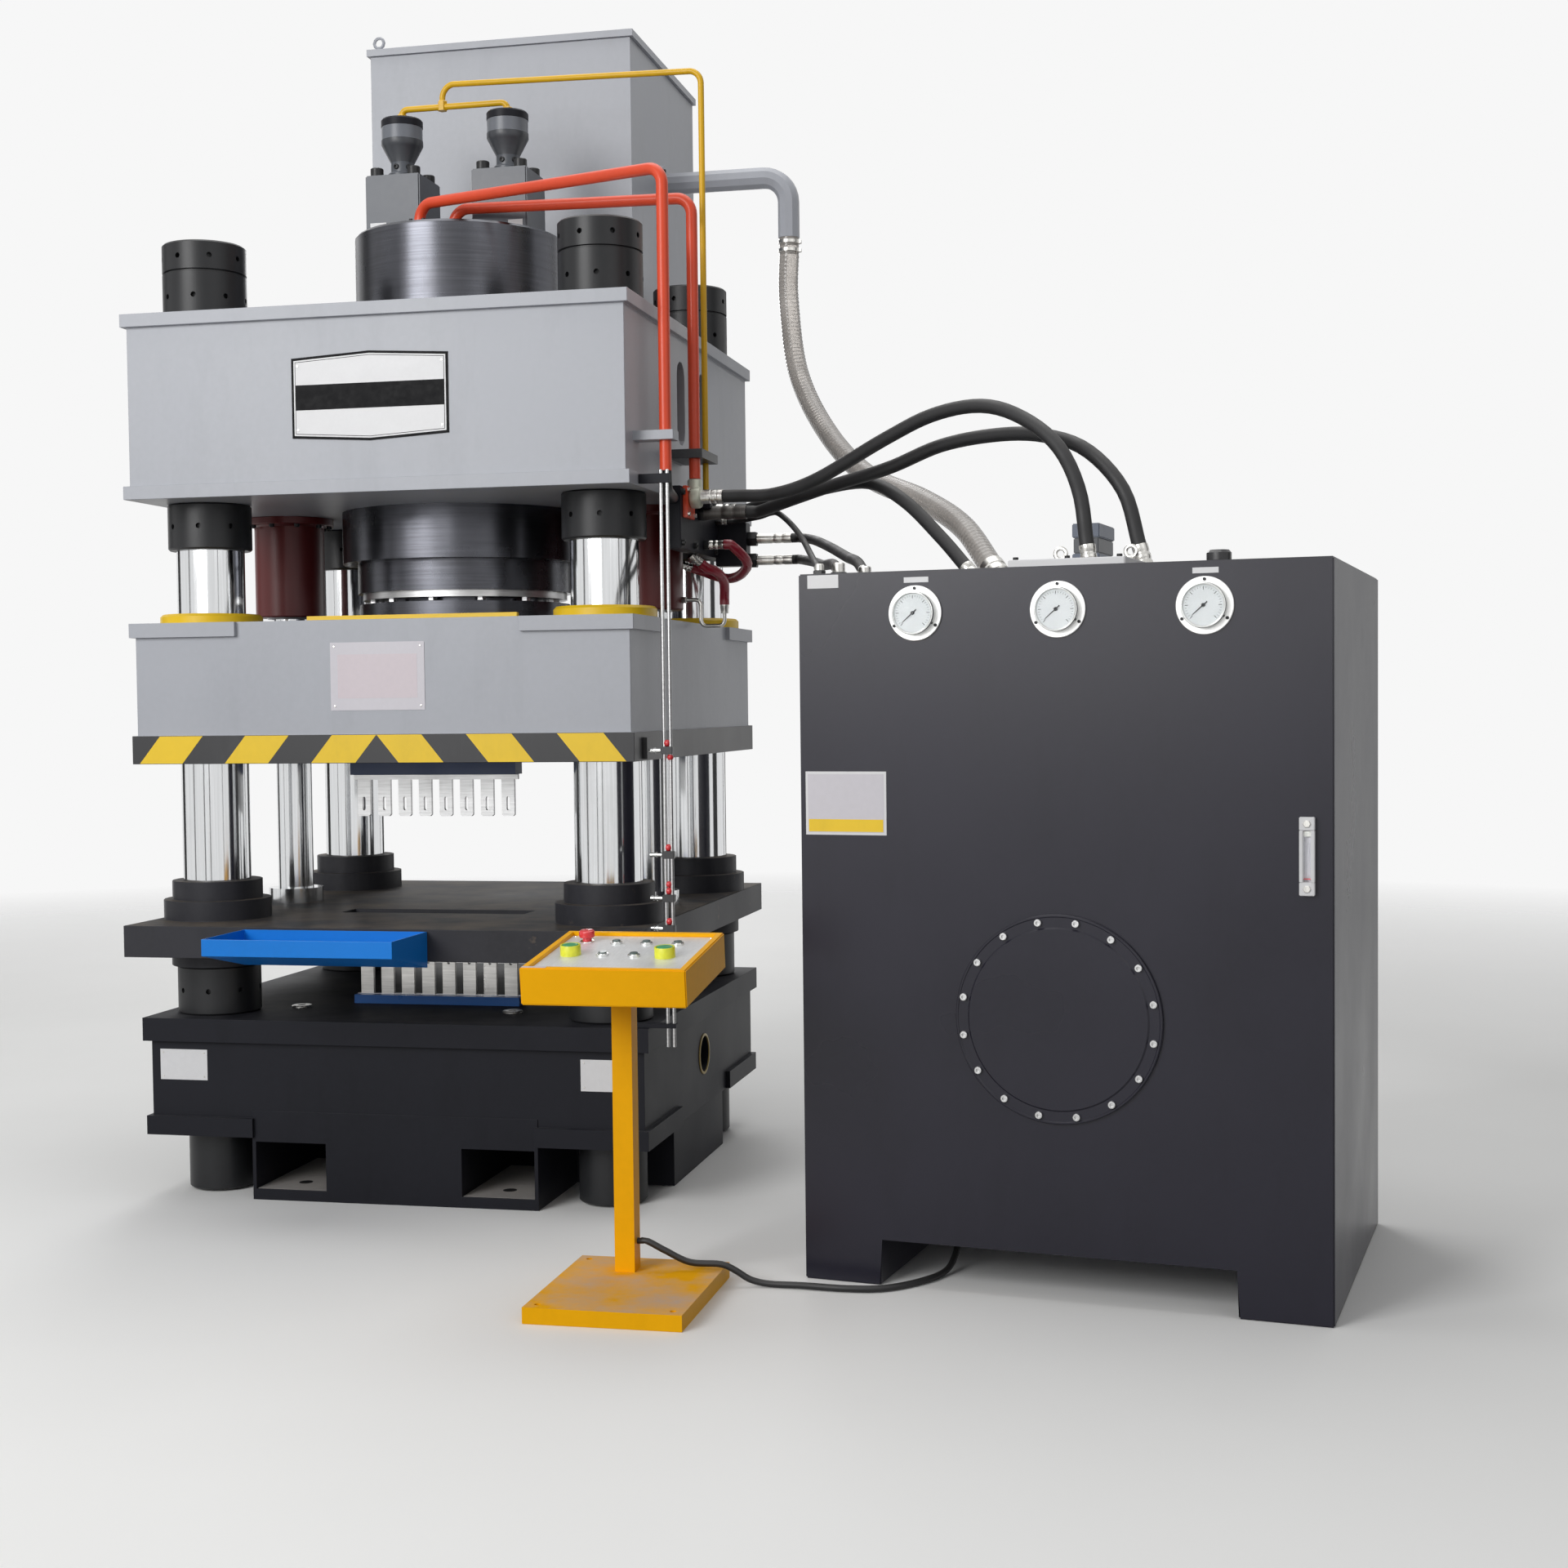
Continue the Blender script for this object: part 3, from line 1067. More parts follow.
def build_middle_plate(materials):
    """The plate that rides on the columns above its stop nuts, with stepped guide collars and a tool window."""
    bm = bmesh.new()
    add_box(bm, (-PLATE_HALF_X, -PLATE_HALF_Y, PLATE_BOTTOM), (PLATE_HALF_X, PLATE_HALF_Y, PLATE_TOP))
    plate = finish_mesh("middle_plate", bm, materials["dark_paint"])
    bm = bmesh.new()
    low_step = PLATE_TOP + COLLAR_LOW_HEIGHT
    profile = [(PLATE_SKIRT_RADIUS, PLATE_BOTTOM - PLATE_SKIRT_HEIGHT), (PLATE_SKIRT_RADIUS, PLATE_BOTTOM + 0.01),
               (COLLAR_LOW_RADIUS, PLATE_TOP - 0.01), (COLLAR_LOW_RADIUS, low_step),
               (COLLAR_TOP_RADIUS, low_step), (COLLAR_TOP_RADIUS, low_step + COLLAR_TOP_HEIGHT)]
    for word, x, y in corners():
        add_turned(bm, profile, Matrix.Translation((x, y, 0)))
    fuse(plate, bm, "collars")
    bm = bmesh.new()
    for word, x, y in corners():
        add_cylinder(bm, COLUMN_RADIUS + RUNNING_GAP, PLATE_BOTTOM - 0.1, PLATE_TOP + 0.2,
                     Matrix.Translation((x, y, 0)))
    add_box(bm, (-WINDOW_HALF_X, TOOL_Y - WINDOW_HALF_Y, PLATE_BOTTOM - 0.02),
            (WINDOW_HALF_X, TOOL_Y + WINDOW_HALF_Y, PLATE_TOP + 0.02))
    cut(plate, bm, "bores_and_window")


def finger_outline(bar_low, bar_high, tip, half_width):
    """A bar with a row of chamfered fingers, drawn in X and Z."""
    root = bar_low if tip < bar_low else bar_high
    back = bar_high if tip < bar_low else bar_low
    inward = FINGER_TIP_CHAMFER if tip < root else -FINGER_TIP_CHAMFER
    outline = [(-half_width, back), (-half_width, root)]
    for index in range(FINGER_COUNT):
        middle = (index - (FINGER_COUNT - 1) / 2) * FINGER_PITCH
        left = middle - FINGER_WIDTH / 2
        right = middle + FINGER_WIDTH / 2
        outline += [(left, root), (left, tip + inward), (left + FINGER_TIP_CHAMFER, tip),
                    (right - FINGER_TIP_CHAMFER, tip), (right, tip + inward), (right, root)]
    outline += [(half_width, root), (half_width, back)]
    return outline


def add_finger_slots(bm, height):
    """Oval slots through every finger."""
    for index in range(FINGER_COUNT):
        middle = (index - (FINGER_COUNT - 1) / 2) * FINGER_PITCH
        place = along((middle, TOOL_Y - FINGER_THICK, height), (0, 1, 0))
        upright = place @ Matrix.Rotation(slot_roll(place), 4, "Z")
        add_prism(bm, slot_outline(FINGER_SLOT_RADIUS, FINGER_SLOT_HALF, 3), 0.0, FINGER_THICK * 2, upright)


def upright_plane():
    """Takes an outline drawn in X and Z to the tooling's plane."""
    return Matrix.Translation((0, TOOL_Y, 0)) @ Matrix.Rotation(math.pi / 2, 4, "X")


def build_tooling(materials):
    """Upper comb under the slide, and the lower comb on its two ejector rods."""
    half = TOOL_BAR_HALF_X
    bar_high = SLIDE_BOTTOM - SEAT_GAP
    bar_low = bar_high - UPPER_BAR_HEIGHT
    tip = bar_low - FINGER_LENGTH
    bm = bmesh.new()
    outline = finger_outline(bar_low, bar_high - UPPER_BAR_HEIGHT / 2, tip, half - 0.001)
    add_prism(bm, outline, -FINGER_THICK / 2, FINGER_THICK / 2, upright_plane())
    upper = finish_mesh("upper_comb", bm, materials["steel"])
    bm = bmesh.new()
    add_box(bm, (-half, TOOL_Y - TOOL_BAR_HALF_Y, bar_low + UPPER_BAR_HEIGHT / 4),
            (half, TOOL_Y + TOOL_BAR_HALF_Y, bar_high))
    fuse(upper, bm, "bar")
    bm = bmesh.new()
    add_finger_slots(bm, tip + FINGER_SLOT_LIFT)
    cut(upper, bm, "slots")

    bar_low = BAR_SEAT_Z
    bar_high = bar_low + LOWER_BAR_HEIGHT
    tip = bar_high + LOWER_FINGER_LENGTH
    bm = bmesh.new()
    outline = finger_outline(bar_low + LOWER_BAR_HEIGHT / 2, bar_high, tip, half - 0.001)
    add_prism(bm, outline, -FINGER_THICK / 2, FINGER_THICK / 2, upright_plane())
    lower = finish_mesh("lower_comb", bm, materials["steel"])
    bm = bmesh.new()
    add_box(bm, (-half, TOOL_Y - TOOL_BAR_HALF_Y, bar_low), (half, TOOL_Y + TOOL_BAR_HALF_Y, bar_high - 0.002))
    fuse(lower, bm, "bar")
    bm = bmesh.new()
    rod_low = bar_low - EJECTOR_ROD_LENGTH
    for sign in (-1, 1):
        add_cylinder(bm, EJECTOR_ROD_RADIUS, rod_low, bar_low + LOWER_BAR_HEIGHT / 2,
                     Matrix.Translation((sign * EJECTOR_ROD_X, TOOL_Y, 0)), SMALL_SEGMENTS)
    fuse(lower, bm, "ejector_rods")
    head_half = EJECTOR_ROD_X + EJECTOR_ROD_RADIUS * 1.2
    bm = bmesh.new()
    add_box(bm, (-head_half, TOOL_Y - EJECTOR_HEAD_HALF_Y, rod_low - EJECTOR_HEAD_THICK),
            (head_half, TOOL_Y + EJECTOR_HEAD_HALF_Y, rod_low + 0.004))
    fuse(lower, bm, "ejector_head")
    bm = bmesh.new()
    add_finger_slots(bm, tip - FINGER_SLOT_LIFT)
    cut(lower, bm, "slots")


def build_front_tray(materials):
    """The blue sheet tray bolted to the front edge of the middle plate."""
    back = -PLATE_HALF_Y - SEAT_GAP
    front = back - TRAY_DEPTH
    top = PLATE_TOP - TRAY_DROP
    outline = [(back, top), (back, top - TRAY_BACK_HEIGHT), (front, top - TRAY_FRONT_HEIGHT), (front, top)]
    across = Matrix(((0, 0, 1, 0), (1, 0, 0, 0), (0, 1, 0, 0), (0, 0, 0, 1)))
    bm = bmesh.new()
    add_prism(bm, outline, TRAY_LEFT_X, TRAY_RIGHT_X, across)
    tray = finish_mesh("front_tray", bm, materials["blue_paint"])
    inner = [(back - TRAY_SHEET, top + 0.01), (back - TRAY_SHEET, top - TRAY_BACK_HEIGHT + TRAY_SHEET),
             (front + TRAY_SHEET, top - TRAY_FRONT_HEIGHT + TRAY_SHEET), (front + TRAY_SHEET, top + 0.01)]
    bm = bmesh.new()
    add_prism(bm, inner, TRAY_LEFT_X + TRAY_SHEET, TRAY_RIGHT_X - TRAY_SHEET, across)
    cut(tray, bm, "inside")


def add_eye_bolt(bm, place, radius, wire):
    """A lifting eye: a short shank and a ring standing in X and Z."""
    x, y, z = place
    shank = [(wire * 1.6, z - wire), (wire * 1.6, z + wire * 0.8), (wire, z + wire * 1.2), (wire, z + wire * 2.5)]
    add_turned(bm, shank, Matrix.Translation((x, y, 0)), 8)


def eye_ring(radius, wire, steps=10, sides=5):
    """The mesh of a ring that stands in X and Z about the origin."""
    bm = bmesh.new()
    rings = []
    for step in range(steps):
        turn = 2 * math.pi * step / steps
        ring = []
        for side in range(sides):
            angle = 2 * math.pi * side / sides
            reach = radius + wire * math.cos(angle)
            ring.append(bm.verts.new((reach * math.cos(turn), wire * math.sin(angle), reach * math.sin(turn))))
        rings.append(ring)
    for first, second in zip(rings, rings[1:] + rings[:1]):
        for side in range(sides):
            following = (side + 1) % sides
            bm.faces.new((first[side], first[following], second[following], second[side]))
    return bm


def fuse_eye_bolt(target, place, radius, wire, label):
    """Weld a lifting eye on a flat top."""
    bm = bmesh.new()
    add_eye_bolt(bm, place, radius, wire)
    fuse(target, bm, label + "_shank")
    bm = eye_ring(radius, wire)
    bmesh.ops.translate(bm, verts=bm.verts, vec=(place[0], place[1], place[2] + radius + wire * 2))
    fuse(target, bm, label + "_ring")


def build_oil_tank(materials):
    """The prefill tank behind the cylinder head, with its rear brackets, and the proud lid."""
    low = CROWN_TOP + SEAT_GAP
    back_y = TANK_FRONT_Y + TANK_DEPTH
    bm = bmesh.new()
    add_box(bm, (-TANK_HALF_X, TANK_FRONT_Y, low), (TANK_HALF_X, back_y, TANK_TOP))
    tank = finish_mesh("oil_tank", bm, materials["grey_paint"])
    bm = bmesh.new()
    add_box(bm, (-TANK_HALF_X + TANK_WALL, TANK_FRONT_Y + TANK_WALL, low + TANK_WALL),
            (TANK_HALF_X - TANK_WALL, back_y - TANK_WALL, TANK_TOP + 0.05))
    cut(tank, bm, "inside")
    wall = CROWN_HALF_Y + SEAT_GAP
    across = Matrix(((0, 0, 1, 0), (1, 0, 0, 0), (0, 1, 0, 0), (0, 0, 0, 1)))
    weld = low + TANK_WALL / 2
    gusset = [(wall, weld), (wall, low - TANK_BRACKET_DROP), (wall + TANK_BRACKET_EDGE, low - TANK_BRACKET_DROP),
              (wall + TANK_BRACKET_REACH, low - TANK_BRACKET_EDGE), (wall + TANK_BRACKET_REACH, weld)]
    bm = bmesh.new()
    for sign in (-1, 1):
        x = sign * TANK_BRACKET_X
        add_prism(bm, gusset, x - TANK_BRACKET_THICK / 2, x + TANK_BRACKET_THICK / 2, across)
    fuse(tank, bm, "brackets")

    lid_low = TANK_TOP + SEAT_GAP
    proud = TANK_LID_PROUD
    bm = bmesh.new()
    add_box(bm, (-TANK_HALF_X - proud, TANK_FRONT_Y - proud, lid_low),
            (TANK_HALF_X + proud, back_y + proud, lid_low + TANK_LID_THICK))
    lid = finish_mesh("tank_lid", bm, materials["grey_paint"])
    corner = (-TANK_HALF_X + EYE_INSET, TANK_FRONT_Y + EYE_INSET, lid_low + TANK_LID_THICK)
    fuse_eye_bolt(lid, corner, EYE_RADIUS, EYE_WIRE, "eye")


def build_prefill_valves(materials):
    """Two prefill valves on the cylinder head: block, neck and funnel-shaped pot."""
    low = DRUM_TOP + SEAT_GAP
    for word, sign in (("left", -1), ("right", 1)):
        x = sign * VALVE_X
        bm = bmesh.new()
        add_box(bm, (x - VALVE_BLOCK_HALF, VALVE_Y - VALVE_BLOCK_HALF, low),
                (x + VALVE_BLOCK_HALF, VALVE_Y + VALVE_BLOCK_HALF, VALVE_BLOCK_TOP))
        bmesh.ops.bevel(bm, geom=bm.edges, offset=0.005, segments=1, affect="EDGES")
        valve = finish_mesh("prefill_valve_" + word, bm, materials["dark_paint"])
        neck_top = VALVE_BLOCK_TOP + VALVE_NECK_HEIGHT
        cone_top = neck_top + VALVE_CONE_HEIGHT
        foot_radius = VALVE_NECK_RADIUS * 1.25
        profile = [(foot_radius, VALVE_BLOCK_TOP - 0.01), (foot_radius, VALVE_BLOCK_TOP + 0.02),
                   (VALVE_NECK_RADIUS, VALVE_BLOCK_TOP + 0.028), (VALVE_NECK_RADIUS, neck_top),
                   (VALVE_CUP_RADIUS, cone_top), (VALVE_CUP_RADIUS, VALVE_CUP_TOP - 0.004),
                   (VALVE_CUP_RADIUS - 0.004, VALVE_CUP_TOP)]
        bm = bmesh.new()
        add_turned(bm, profile, Matrix.Translation((x, VALVE_Y, 0)), 24)
        fuse(valve, bm, "pot")
        bm = bmesh.new()
        screw_x = x - VALVE_BLOCK_HALF + VALVE_SCREW_RADIUS * 1.4
        screw_y = VALVE_Y - VALVE_BLOCK_HALF + VALVE_SCREW_RADIUS * 1.4
        add_cylinder(bm, VALVE_SCREW_RADIUS, VALVE_BLOCK_TOP - 0.01, VALVE_BLOCK_TOP + VALVE_SCREW_HEIGHT,
                     Matrix.Translation((screw_x, screw_y, 0)), SMALL_SEGMENTS)
        fuse(valve, bm, "cap_screw")


def pipe(name, route, radius, material):
    """A rigid pipe as a mesh node."""
    bm = bmesh.new()
    add_tube(bm, route, radius)
    return finish_mesh(name, bm, material)


def build_rigid_pipes(materials):
    """Two pressure pipes, the pilot pipe and the suction pipe."""
    head = DRUM_TOP + SEAT_GAP
    x, y = FRONT_PIPE_START
    run = head + FRONT_PIPE_RISE
    elbow = MANIFOLD_TOP - MANIFOLD_HEIGHT * 0.2
    points = [(x, y, head), (x, y, run), (PIPE_PLANE_X, FRONT_PIPE_Y, run - PIPE_RUN_FALL),
              (PIPE_PLANE_X, FRONT_PIPE_Y, elbow), (FRONT_PIPE_END_X, MANIFOLD_FRONT_Y - FRONT_PIPE_END_GAP, elbow)]
    pipe("pressure_pipe_front", rounded_route(points, PRESSURE_BEND), PRESSURE_PIPE_RADIUS, materials["red_paint"])

    x, y = REAR_PIPE_START
    run = head + REAR_PIPE_RISE
    points = [(x, y, head), (x, y, run), (PIPE_PLANE_X, REAR_PIPE_Y, run - PIPE_RUN_FALL),
              (PIPE_PLANE_X, REAR_PIPE_Y, MANIFOLD_TOP + UNION_NECK_HEIGHT + SEAT_GAP)]
    pipe("pressure_pipe_rear", rounded_route(points, PRESSURE_BEND), PRESSURE_PIPE_RADIUS, materials["red_paint"])

    cup = VALVE_CUP_TOP + SEAT_GAP
    bar = cup + PILOT_BAR_LIFT
    points = [(-VALVE_X, VALVE_Y, cup), (-VALVE_X, VALVE_Y, bar), (VALVE_X, VALVE_Y, bar), (VALVE_X, VALVE_Y, cup)]
    pilot = pipe("pilot_pipe", rounded_route(points, PILOT_BEND / 2), PILOT_BAR_RADIUS, materials["yellow_paint"])
    run = bar + PILOT_RISER_HEIGHT
    points = [(PILOT_RISER_X, VALVE_Y, bar), (PILOT_RISER_X, VALVE_Y, run),
              (PIPE_PLANE_X, PILOT_PIPE_Y, run - PILOT_RUN_FALL),
              (PIPE_PLANE_X, PILOT_PIPE_Y, MANIFOLD_TOP + SEAT_GAP)]
    bm = bmesh.new()
    add_tube(bm, rounded_route(points, PILOT_BEND), PILOT_PIPE_RADIUS)
    fuse(pilot, bm, "run")

    port = (TANK_HALF_X + SEAT_GAP, TANK_PORT_Y, TANK_TOP - TANK_PORT_DROP)
    points = [port, (SUCTION_ELBOW_X, TANK_PORT_Y, port[2]), (SUCTION_ELBOW_X, TANK_PORT_Y, port[2] - SUCTION_DROP)]
    suction = pipe("suction_pipe", rounded_route(points, SUCTION_BEND, 8), SUCTION_PIPE_RADIUS,
                   materials["grey_paint"])
    bm = bmesh.new()
    add_cylinder(bm, SUCTION_FLANGE_RADIUS, 0.0, SUCTION_FLANGE_THICK, along(port, (1, 0, 0)), 24)
    fuse(suction, bm, "flange")
    return Vector(points[-1])


def build_manifold(materials):
    """Manifold block on the crown's right side with its flange, union, side block, sleeves and ports."""
    low = MANIFOLD_TOP - MANIFOLD_HEIGHT
    face = MANIFOLD_FACE_X
    bm = bmesh.new()
    add_box(bm, (CROWN_HALF_X + SEAT_GAP, MANIFOLD_FRONT_Y, low), (face, MANIFOLD_BACK_Y, MANIFOLD_TOP))
    manifold = finish_mesh("side_manifold", bm, materials["dark_paint"])

    port_z = MANIFOLD_TOP - UPPER_PORT_DROP
    flange_face = face + PORT_FLANGE_THICK
    bm = bmesh.new()
    add_box(bm, (face - 0.005, REAR_PIPE_Y - PORT_FLANGE_HALF_Y, MANIFOLD_TOP + 0.002 - PORT_FLANGE_HEIGHT),
            (flange_face, REAR_PIPE_Y + PORT_FLANGE_HALF_Y, MANIFOLD_TOP + 0.002))
    add_box(bm, (face - 0.006, PILOT_PIPE_Y - PILOT_BOSS_HALF, MANIFOLD_TOP - PILOT_BOSS_HEIGHT),
            (PIPE_PLANE_X + PILOT_BOSS_HALF, PILOT_PIPE_Y + PILOT_BOSS_HALF, MANIFOLD_TOP))
    block_high = MANIFOLD_TOP - SIDE_BLOCK_DROP
    add_box(bm, (face - 0.007, SIDE_BLOCK_Y - SIDE_BLOCK_HALF_Y, block_high - SIDE_BLOCK_HEIGHT),
            (face + SIDE_BLOCK_REACH, SIDE_BLOCK_Y + SIDE_BLOCK_HALF_Y, block_high))
    fuse(manifold, bm, "flange_and_blocks")

    bm = bmesh.new()
    add_cylinder(bm, UNION_RADIUS, 0.0, UNION_LENGTH + 0.004,
                 along((flange_face - 0.004, REAR_PIPE_Y, port_z), (1, 0, 0)), 24)
    fuse(manifold, bm, "union")
    bm = bmesh.new()
    add_cylinder(bm, UNION_NECK_RADIUS, port_z, MANIFOLD_TOP + UNION_NECK_HEIGHT,
                 Matrix.Translation((PIPE_PLANE_X, REAR_PIPE_Y, 0)), SMALL_SEGMENTS)
    fuse(manifold, bm, "union_neck")

    side_face = face + SIDE_BLOCK_REACH
    for index, (route, drop, radius, seat) in enumerate((
            (HOSE_UPPER, UPPER_PORT_DROP, SLEEVE_RADIUS, flange_face + UNION_LENGTH),
            (HOSE_MIDDLE, MIDDLE_PORT_DROP, SLEEVE_RADIUS, face),
            (HOSE_LOWER, LOWER_PORT_DROP, SLEEVE_RADIUS, face),
            (THIN_HOSE, THIN_PORT_DROP, THIN_SLEEVE_RADIUS, face),
            (PORT_HOSE_UPPER, SIDE_UPPER_PORT_DROP, SMALL_SLEEVE_RADIUS, side_face),
            (PORT_HOSE_LOWER, SIDE_LOWER_PORT_DROP, SMALL_SLEEVE_RADIUS, side_face),
            (LIFT_HOSE_UPPER, LIFT_UPPER_PORT_DROP, LIFT_SLEEVE_RADIUS, face))):
        x, y = route[0][:2]
        bm = bmesh.new()
        add_cylinder(bm, radius, seat - SLEEVE_SINK, x - SEAT_GAP, along((0, y, MANIFOLD_TOP - drop), (1, 0, 0)),
                     SMALL_SEGMENTS)
        fuse(manifold, bm, "sleeve_%d" % index)
    for index, drop in enumerate((SIDE_UPPER_PORT_DROP, SIDE_LOWER_PORT_DROP)):
        bm = bmesh.new()
        add_cylinder(bm, HEX_RADIUS, side_face - SLEEVE_SINK, side_face + HEX_LENGTH,
                     along((0, SIDE_BLOCK_Y, MANIFOLD_TOP - drop), (1, 0, 0)), 6)
        fuse(manifold, bm, "hex_%d" % index)
    bm = bmesh.new()
    add_sleeve(bm, LIFT_HOSE_LOWER, MANIFOLD_TOP - LIFT_LOWER_PORT_DROP, LIFT_SLEEVE_RADIUS, LIFT_SLEEVE_LENGTH)
    fuse(manifold, bm, "lower_port")


def build_sensor_post(materials):
    """Two bright rods beside the slide with their foot, top bracket and four limit sensors."""
    bm = bmesh.new()
    second_x = SENSOR_ROD_X + SENSOR_ROD_SPACING
    for x in (SENSOR_ROD_X, second_x):
        add_cylinder(bm, SENSOR_ROD_RADIUS, BASE_HEIGHT - SENSOR_ROD_OVERLAP, CROWN_BOTTOM + SENSOR_ROD_RISE,
                     Matrix.Translation((x, SENSOR_ROD_Y, 0)), TINY_SEGMENTS)
    post = finish_mesh("sensor_post", bm, materials["chrome"])
    half = SENSOR_BRACKET_HALF
    outer = second_x + SENSOR_ROD_RADIUS * 1.6
    foot = BASE_HEIGHT + SEAT_GAP
    bm = bmesh.new()
    add_box(bm, (SENSOR_FOOT_INNER_X, SENSOR_ROD_Y - half * 2, foot),
            (outer, SENSOR_ROD_Y + half * 2, foot + SENSOR_FOOT_THICK))
    bracket = CROWN_BOTTOM + SENSOR_BRACKET_LIFT
    add_box(bm, (CROWN_HALF_X + SEAT_GAP, SENSOR_ROD_Y - half, bracket),
            (outer, SENSOR_ROD_Y + half, bracket + SENSOR_BRACKET_THICK))
    fuse(post, bm, "brackets")
    middle = (SENSOR_ROD_X + second_x) / 2
    for index, z in enumerate(SENSOR_HEIGHTS):
        half_x, half_y, half_z = SENSOR_CLAMP_HALF
        bm = bmesh.new()
        add_box(bm, (middle - half_x, SENSOR_ROD_Y - half_y, z - half_z),
                (middle + half_x, SENSOR_ROD_Y + half_y, z + half_z))
        fuse(post, bm, "clamp_%d" % index)
        bm = bmesh.new()
        add_cylinder(bm, SENSOR_BODY_RADIUS, 0.0, middle - SENSOR_TIP_X,
                     along((SENSOR_TIP_X, SENSOR_ROD_Y, z), (1, 0, 0)), TINY_SEGMENTS)
        fuse(post, bm, "sensor_%d" % index)
        bm = bmesh.new()
        add_cylinder(bm, SENSOR_KNOB_RADIUS, z + SENSOR_BODY_RADIUS / 2, z + SENSOR_KNOB_HEIGHT,
                     Matrix.Translation((SENSOR_KNOB_X, SENSOR_ROD_Y, 0)), 6)
        fuse(post, bm, "knob_%d" % index)


def unit_frame():
    """The turned frame of the power unit: origin at its front left floor corner."""
    return Matrix.Translation((*UNIT_CORNER, 0)) @ Matrix.Rotation(UNIT_TURN, 4, "Z")


def unit_front(x, z):
    """A matrix whose +Z leaves the unit's front face at the given place."""
    return along((x, 0, z), (0, -1, 0))


def build_power_unit(materials):
    """The hydraulic power unit's tank with its front fittings and top plate."""
    holder = bpy.data.objects.new("power_unit_frame", None)
    bpy.context.scene.collection.objects.link(holder)
    holder.location = (*UNIT_CORNER, 0)
    holder.rotation_euler = (0, 0, UNIT_TURN)

    bm = bmesh.new()
    add_box(bm, (0, 0, 0), (UNIT_WIDTH, UNIT_DEPTH, UNIT_HEIGHT))
    tank = finish_mesh("power_unit_tank", bm, materials["grey_paint"], holder)
    bm = bmesh.new()
    add_box(bm, (UNIT_NOTCH_LEFT, -0.05, -0.05), (UNIT_NOTCH_RIGHT, UNIT_DEPTH + 0.05, UNIT_NOTCH_HEIGHT))
    cut(tank, bm, "notch")
    bm = bmesh.new()
    wall = UNIT_WALL
    add_box(bm, (wall, wall, UNIT_NOTCH_HEIGHT + wall), (UNIT_WIDTH - wall, UNIT_DEPTH - wall, UNIT_HEIGHT - wall))
    cut(tank, bm, "inside")
    bm = bmesh.new()
    add_cylinder(bm, MANHOLE_OPENING, -0.05, 0.05, unit_front(MANHOLE_X, MANHOLE_Z))
    for x in GAUGE_X:
        add_cylinder(bm, GAUGE_BODY_RADIUS + RUNNING_GAP, -0.05, 0.05, unit_front(x, GAUGE_Z))
    cut(tank, bm, "front_openings")

    plate_top = UNIT_HEIGHT + TOP_PLATE_THICK
    bm = bmesh.new()
    add_box(bm, (TOP_PLATE_LEFT, TOP_PLATE_FRONT, UNIT_HEIGHT - wall / 2),
            (TOP_PLATE_RIGHT, TOP_PLATE_FRONT + TOP_PLATE_DEPTH, plate_top))
    fuse(tank, bm, "top_plate")
    bm = bmesh.new()
    add_turned(bm, [(DOME_RADIUS, UNIT_HEIGHT - wall / 2), (DOME_RADIUS, UNIT_HEIGHT + DOME_HEIGHT * 0.6),
                    (DOME_RADIUS * 0.7, UNIT_HEIGHT + DOME_HEIGHT)], Matrix.Translation((DOME_X, DOME_Y, 0)), 16)
    fuse(tank, bm, "breather")
    for index, x in enumerate(EYE_BOLT_X):
        fuse_eye_bolt(tank, (x, EYE_BOLT_Y, plate_top), EYE_RADIUS * 0.8, EYE_WIRE, "eye_%d" % index)
    frame = unit_frame()
    for index, (route, lift, radius) in enumerate((
            (HOSE_UPPER, TALL_PORT_LIFT, SLEEVE_RADIUS), (HOSE_MIDDLE, TALL_PORT_LIFT, SLEEVE_RADIUS),
            (HOSE_LOWER, LOWER_HOSE_PORT_LIFT, SLEEVE_RADIUS),
            (PORT_HOSE_UPPER, SIDE_UPPER_HOSE_PORT_LIFT, SMALL_SLEEVE_RADIUS),
            (PORT_HOSE_LOWER, SIDE_LOWER_HOSE_PORT_LIFT, SMALL_SLEEVE_RADIUS),
            (THIN_HOSE, THIN_HOSE_PORT_LIFT, THIN_SLEEVE_RADIUS),
            (SUCTION_HOSE, SUCTION_PORT_LIFT, SUCTION_SLEEVE_RADIUS))):
        fall = (Vector(route[-2]) - Vector(route[-1])).normalized().z
        bm = bmesh.new()
        add_sleeve(bm, route, UNIT_HEIGHT + lift, radius, (lift + PORT_DEPTH) / fall, frame)
        fuse(tank, bm, "port_%d" % index)

    bm = bmesh.new()
    profile = [(MANHOLE_RADIUS, SEAT_GAP), (MANHOLE_RADIUS, SEAT_GAP + MANHOLE_THICK)]
    add_turned(bm, profile, unit_front(MANHOLE_X, MANHOLE_Z), BIG_SEGMENTS)
    cover = finish_mesh("manhole_cover", bm, materials["grey_paint"], holder)
    bm = bmesh.new()
    circle = MANHOLE_RADIUS - MANHOLE_BOLT_INSET
    for step in range(MANHOLE_BOLT_COUNT):
        angle = 2 * math.pi * (step + 0.5) / MANHOLE_BOLT_COUNT
        x = MANHOLE_X + circle * math.cos(angle)
        z = MANHOLE_Z + circle * math.sin(angle)
        add_cylinder(bm, MANHOLE_BOLT_RADIUS, SEAT_GAP + MANHOLE_THICK / 2,
                     SEAT_GAP + MANHOLE_THICK + MANHOLE_BOLT_RADIUS, unit_front(x, z), 6)
    fuse(cover, bm, "bolts")

